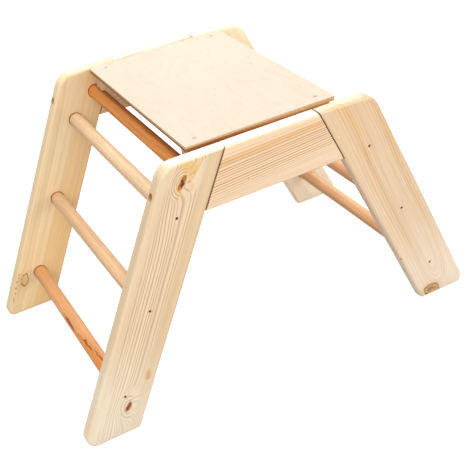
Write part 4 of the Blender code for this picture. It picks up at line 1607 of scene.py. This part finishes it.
class LadderPlywood(bpy.types.PropertyGroup):
    """Shape details and colours of the platform's board."""

    edge_ease: length_setting("Edge ease", "Rounding of the board's edges", 0.8 * MM)
    hole_ease: length_setting("Hole ease", "Flare at the mouths of the screw holes", 0.2 * MM)
    relief: length_setting("Relief", "Depth of the veneer's relief", 0.05 * MM)
    plies: bpy.props.IntProperty(name="Plies", description="Number of veneers", default=7, min=3)
    face_colour: colour_setting("Face veneer", "Base colour of the board", (0.55, 0.47, 0.375))
    figure_colour: colour_setting("Figure", "Peeled figure of the veneer", (0.50, 0.39, 0.275))
    fleck_colour: colour_setting("Pin flecks", "Small dark flecks of the veneer", (0.30, 0.17, 0.08))
    end_ply_colour: colour_setting("End grain ply", "Plies seen on end at an edge", (0.74, 0.42, 0.15))
    glue_colour: colour_setting("Glue line", "Glue lines, and the painted shade on the lower plies", (0.36, 0.10, 0.015))


class LadderSteel(bpy.types.PropertyGroup):
    """Colours of the nails and screws."""

    nail_bright: colour_setting("Nail", "Bright places of a nail", (0.10, 0.06, 0.035))
    nail_dull: colour_setting("Nail, dull", "Dull places of a nail", (0.035, 0.02, 0.012))
    screw_bright: colour_setting("Screw", "Bright places of a screw", (0.60, 0.55, 0.48))
    screw_dull: colour_setting("Screw, dull", "Dull places of a screw", (0.42, 0.38, 0.33))
    board_screw_bright: colour_setting("Board screw", "Bright places of a board screw", (0.42, 0.32, 0.22))
    board_screw_dull: colour_setting("Board screw, dull", "Dull places of a board screw", (0.30, 0.22, 0.15))


class LadderStage(bpy.types.PropertyGroup):
    """Floor and light."""

    floor_size: length_setting("Floor size", "Length of each side of the floor", 30)
    floor_colour: colour_setting("Floor", "Colour of the floor", (0.47, 0.46, 0.45))
    floor_glow: number_setting("Floor glow", "Brightness that the floor adds where it is seen", 0.7)
    sky_strength: number_setting("Sky", "Strength of the even white light from all round", 0.6)
    front_power: number_setting("Front light", "Power of the large soft light in front", 48, unit="POWER")
    overhead_power: number_setting("Overhead light", "Power of the long light overhead", 37, unit="POWER")
    fill_power: number_setting("Fill light", "Power of the low soft light in front", 24, unit="POWER")
    back_power: number_setting("Back light", "Power of the wide light behind", 44, unit="POWER")


class Ladder(bpy.types.PropertyGroup):
    """All settings of the climbing ladder."""

    pine: bpy.props.PointerProperty(type=LadderPine)
    beech: bpy.props.PointerProperty(type=LadderBeech)
    plywood: bpy.props.PointerProperty(type=LadderPlywood)
    steel: bpy.props.PointerProperty(type=LadderSteel)
    stage: bpy.props.PointerProperty(type=LadderStage)


class LADDER_OT_stage(bpy.types.Operator):
    """Build the floor, the light and the camera"""

    bl_idname = "ladder.stage"
    bl_label = "Stage"

    def execute(self, context):
        settings = context.scene.ladder.stage
        build_floor(settings)
        build_light(context, settings)
        build_camera(context)
        return {"FINISHED"}


class LADDER_OT_finishes(bpy.types.Operator):
    """Build the node groups of the wood and steel finishes, the inner ones first"""

    bl_idname = "ladder.finishes"
    bl_label = "Finishes"

    def execute(self, context):
        for group in NodeGroup.known:
            group.build()
        return {"FINISHED"}


class LADDER_OT_legs(bpy.types.Operator):
    """Build the four legs with their sockets and holes"""

    bl_idname = "ladder.legs"
    bl_label = "Legs"

    def execute(self, context):
        look = context.scene.ladder.pine
        for name, end, side in CORNERS:
            toe_radius = NEAR_LEFT_TOE_RADIUS if name == "near_left" else TOE_RADIUS
            cutters = [socket_cutters(look.hole_ease), fastener_cutters(look.hole_ease)]
            leg = carved(leg_blank(look.rounding, toe_radius), cutters)
            origin, turn = leg_axes(end, side)
            material = pine_material(f"pine_leg_{name}", origin, turn, LEG_GRAIN[name], look, "leg")
            finished_piece(f"leg_{name}", mirrored(leg, end, side), material, f"{name}_leg", "frame", "pine")
            leg.free()
        return {"FINISHED"}


class LADDER_OT_beams(bpy.types.Operator):
    """Build the two top beams"""

    bl_idname = "ladder.beams"
    bl_label = "Beams"

    def execute(self, context):
        look = context.scene.ladder.pine
        beam = beam_shape(look.rounding, look.end_ease)
        for name, side in SIDES:
            origin = (0, side * PANEL_MIDDLE, PANEL_HEIGHT - BEAM_DEPTH / 2)
            material = pine_material(f"pine_beam_{name}", origin, LEVEL, BEAM_GRAIN[name], look, "beam")
            shape = mirrored(beam, -1, side)
            finished_piece(f"beam_{name}", shape, material, f"{name}_beam", "frame", "pine")
        beam.free()
        return {"FINISHED"}


class LADDER_OT_rungs(bpy.types.Operator):
    """Build the eight rungs"""

    bl_idname = "ladder.rungs"
    bl_label = "Rungs"

    def execute(self, context):
        look = context.scene.ladder.beech
        for end_name, end in ENDS:
            for index, (distance, height) in enumerate(rung_places()):
                name = f"{end_name}_{index + 1}"
                seed = RUNG_SEED_STEP * (index + 1) * (2 + end)
                origin = (end * distance, 0, height)
                material = beech_material(f"beech_rung_{name}", origin, end, seed, RUNG_TONES[name], look)
                shape = placed(rung_shape(look.chamfer, index < LEG_RUNG_COUNT), origin, ALONG_Y)
                node = f"{end_name}_rung_{index + 1}"
                finished_piece(f"rung_{name}", shape, material, node, "frame", "beech")
        return {"FINISHED"}


class LADDER_OT_fasteners(bpy.types.Operator):
    """Build the nails and the long screws of the frame"""

    bl_idname = "ladder.fasteners"
    bl_label = "Fasteners"

    def execute(self, context):
        look = context.scene.ladder.steel
        nail_steel = steel_material("nail_steel_dark", look.nail_bright, look.nail_dull, NAIL_SEED)
        screw_steel = steel_material("screw_steel_bright", look.screw_bright, look.screw_dull, SCREW_SEED)
        head_depth = COUNTERBORE_DEPTH - BEAM_SCREW_HEAD_HEIGHT - SEAT_GAP
        head_distance = leg_inner_edge(BEAM_SCREW_HEIGHT) + LEG_LEVEL_WIDTH - head_depth
        for name, end, side in CORNERS:
            for index, (distance, height) in enumerate(rung_places()[:LEG_RUNG_COUNT]):
                head = (end * distance, side * (PANEL_OUTER_FACE - NAIL_SINK), height)
                shape = placed(nail_shape(), head, (0, -side, 0))
                node = f"{name}_nail_{index + 1}"
                finished_piece(f"nail_{name}_{index + 1}", shape, nail_steel, node, "frame", "nail_steel")
            head = (end * head_distance, side * PANEL_MIDDLE, BEAM_SCREW_HEIGHT)
            shape = placed(beam_screw_shape(), head, (-end, 0, 0))
            node = f"{name}_beam_screw"
            finished_piece(f"beam_screw_{name}", shape, screw_steel, node, "frame", "screw_steel")
        return {"FINISHED"}


class LADDER_OT_platform(bpy.types.Operator):
    """Build the lift-off platform: its board, battens and screws"""

    bl_idname = "ladder.platform"
    bl_label = "Platform"

    def execute(self, context):
        settings = context.scene.ladder
        look = settings.plywood
        shape = board_shape(look.edge_ease, look.hole_ease)
        material = plywood_material("birch_plywood_board", look)
        finished_piece("platform_top", shape, material, "platform_board", "platform", "birch_plywood")
        look = settings.steel
        steel = steel_material(
            "board_screw_steel", look.board_screw_bright, look.board_screw_dull, BOARD_SCREW_SEED
        )
        batten = batten_shape(settings.pine.batten_ease)
        for name, side in SIDES:
            origin = (0, side * BATTEN_MIDDLE, BATTEN_TOP - BATTEN_HEIGHT / 2)
            material = pine_material(f"pine_batten_{name}", origin, LEVEL, BATTEN_GRAIN[name], settings.pine)
            node = f"{name}_platform_batten"
            finished_piece(f"batten_{name}", mirrored(batten, -1, side), material, node, "platform", "pine")
            for (corner, _, corner_side), head in zip(CORNERS, board_screw_heads()):
                if corner_side == side:
                    shape = placed(board_screw_shape(), head, DOWN)
                    node = f"{corner}_board_screw"
                    finished_piece(f"board_screw_{corner}", shape, steel, node, "platform", "screw_steel")
        batten.free()
        return {"FINISHED"}


LEVEL = (0, math.pi / 2, 0)
RUNG_SEED_STEP = 5.7
NAIL_SEED = 2.3
SCREW_SEED = 4.1
BOARD_SCREW_SEED = 6.9
FLOOR_ROUGHNESS = 0.9
CAMERA_PLACE = (-0.640418, -1.361156, 1.161723)
CAMERA_YAW = math.radians(23.727)
CAMERA_PITCH = math.radians(33.52)
CAMERA_ROLL = math.radians(-7.594)
CAMERA_LENS = 67.152
CAMERA_SHIFT = (0.068, -0.0005)
LIGHTS = {
    "front": ((-1.4, -2.3, 1.9), (2, 2)),
    "fill": ((1.5, -2.6, 0.8), (2, 1.2)),
    "overhead": ((0.2, 0.4, 2.4), (1.2, 2.4)),
    "back": ((1, 2.3, 1.9), (2.4, 1.4)),
}
LIGHT_AIM = Vector((0, 0, 0.3))


def build_camera(context):
    """The camera at the photograph's viewing angle."""
    data = bpy.data.cameras.new("camera")
    data.lens = CAMERA_LENS
    data.shift_x, data.shift_y = CAMERA_SHIFT
    camera = bpy.data.objects.new("camera", data)
    turn = Matrix.Rotation(-CAMERA_YAW, 4, "Z")
    turn = turn @ Matrix.Rotation(math.pi / 2 - CAMERA_PITCH, 4, "X")
    turn = turn @ Matrix.Rotation(CAMERA_ROLL, 4, "Z")
    camera.matrix_world = Matrix.Translation(CAMERA_PLACE) @ turn
    context.scene.collection.objects.link(camera)
    context.scene.camera = camera


def build_floor(settings):
    """A plain pale floor. It glows only where it is seen, so that it stays white but lights little."""
    shape = bmesh.new()
    bmesh.ops.create_grid(shape, x_segments=1, y_segments=1, size=settings.floor_size / 2)
    floor = helper_object("floor", shape)
    material, shader = new_material("floor_white")
    seen = Value(add_node(shader.id_data, "ShaderNodeLightPath").outputs["Is Camera Ray"])
    lead(settings.floor_colour, shader.inputs["Base Color"])
    lead(FLOOR_ROUGHNESS, shader.inputs["Roughness"])
    lead(settings.floor_glow, shader.inputs["Emission Strength"])
    lead(seen, shader.inputs["Emission Color"])
    floor.data.materials.append(material)


def build_light(context, settings):
    """Even white light from all round and large soft lights in front, overhead and behind."""
    world = bpy.data.worlds.new("studio")
    world.use_nodes = True
    background = world.node_tree.nodes["Background"]
    lead((1, 1, 1), background.inputs["Color"])
    lead(settings.sky_strength, background.inputs["Strength"])
    context.scene.world = world
    context.scene.view_settings.view_transform = "Standard"
    for name, (place, size) in LIGHTS.items():
        lamp = bpy.data.lights.new(name, "AREA")
        lamp.shape = "RECTANGLE"
        lamp.energy = getattr(settings, name + "_power")
        lamp.size, lamp.size_y = size
        light = bpy.data.objects.new(name, lamp)
        light.location = place
        light.rotation_euler = (LIGHT_AIM - Vector(place)).to_track_quat("-Z", "Y").to_euler()
        context.scene.collection.objects.link(light)


class LADDER_PT_sidebar(bpy.types.Panel):
    """Lists the steps and settings of the climbing ladder."""

    bl_label = "Climbing Ladder"
    bl_space_type = "VIEW_3D"
    bl_region_type = "UI"
    bl_category = "Ladder"

    def draw(self, context):
        layout = self.layout
        for operator in OPERATORS:
            layout.operator(operator.bl_idname)
        settings = context.scene.ladder
        for group in (settings.pine, settings.beech, settings.plywood, settings.steel, settings.stage):
            box = layout.box()
            for name in group.__annotations__:
                box.prop(group, name)


OPERATORS = (
    LADDER_OT_stage,
    LADDER_OT_finishes,
    LADDER_OT_legs,
    LADDER_OT_beams,
    LADDER_OT_rungs,
    LADDER_OT_fasteners,
    LADDER_OT_platform,
)
SETTINGS = (LadderPine, LadderBeech, LadderPlywood, LadderSteel, LadderStage, Ladder)
CLASSES = (*SETTINGS, *OPERATORS, LADDER_PT_sidebar)


def register():
    """Make the settings, operators and panel known."""
    for item in CLASSES:
        bpy.utils.register_class(item)
    bpy.types.Scene.ladder = bpy.props.PointerProperty(type=Ladder)


def unregister():
    """Take back what register made known."""
    del bpy.types.Scene.ladder
    for item in reversed(CLASSES):
        bpy.utils.unregister_class(item)


def plain_bounds(bounds):
    """Lowest and highest corner as plain lists."""
    return [list(corner) for corner in bounds]


def main():
    """Build the whole climbing ladder."""
    register()
    bpy.ops.ladder.stage()
    bpy.ops.ladder.finishes()
    bpy.ops.ladder.legs()
    bpy.ops.ladder.beams()
    bpy.ops.ladder.rungs()
    bpy.ops.ladder.fasteners()
    bpy.ops.ladder.platform()


if __name__ == "__main__":
    main()
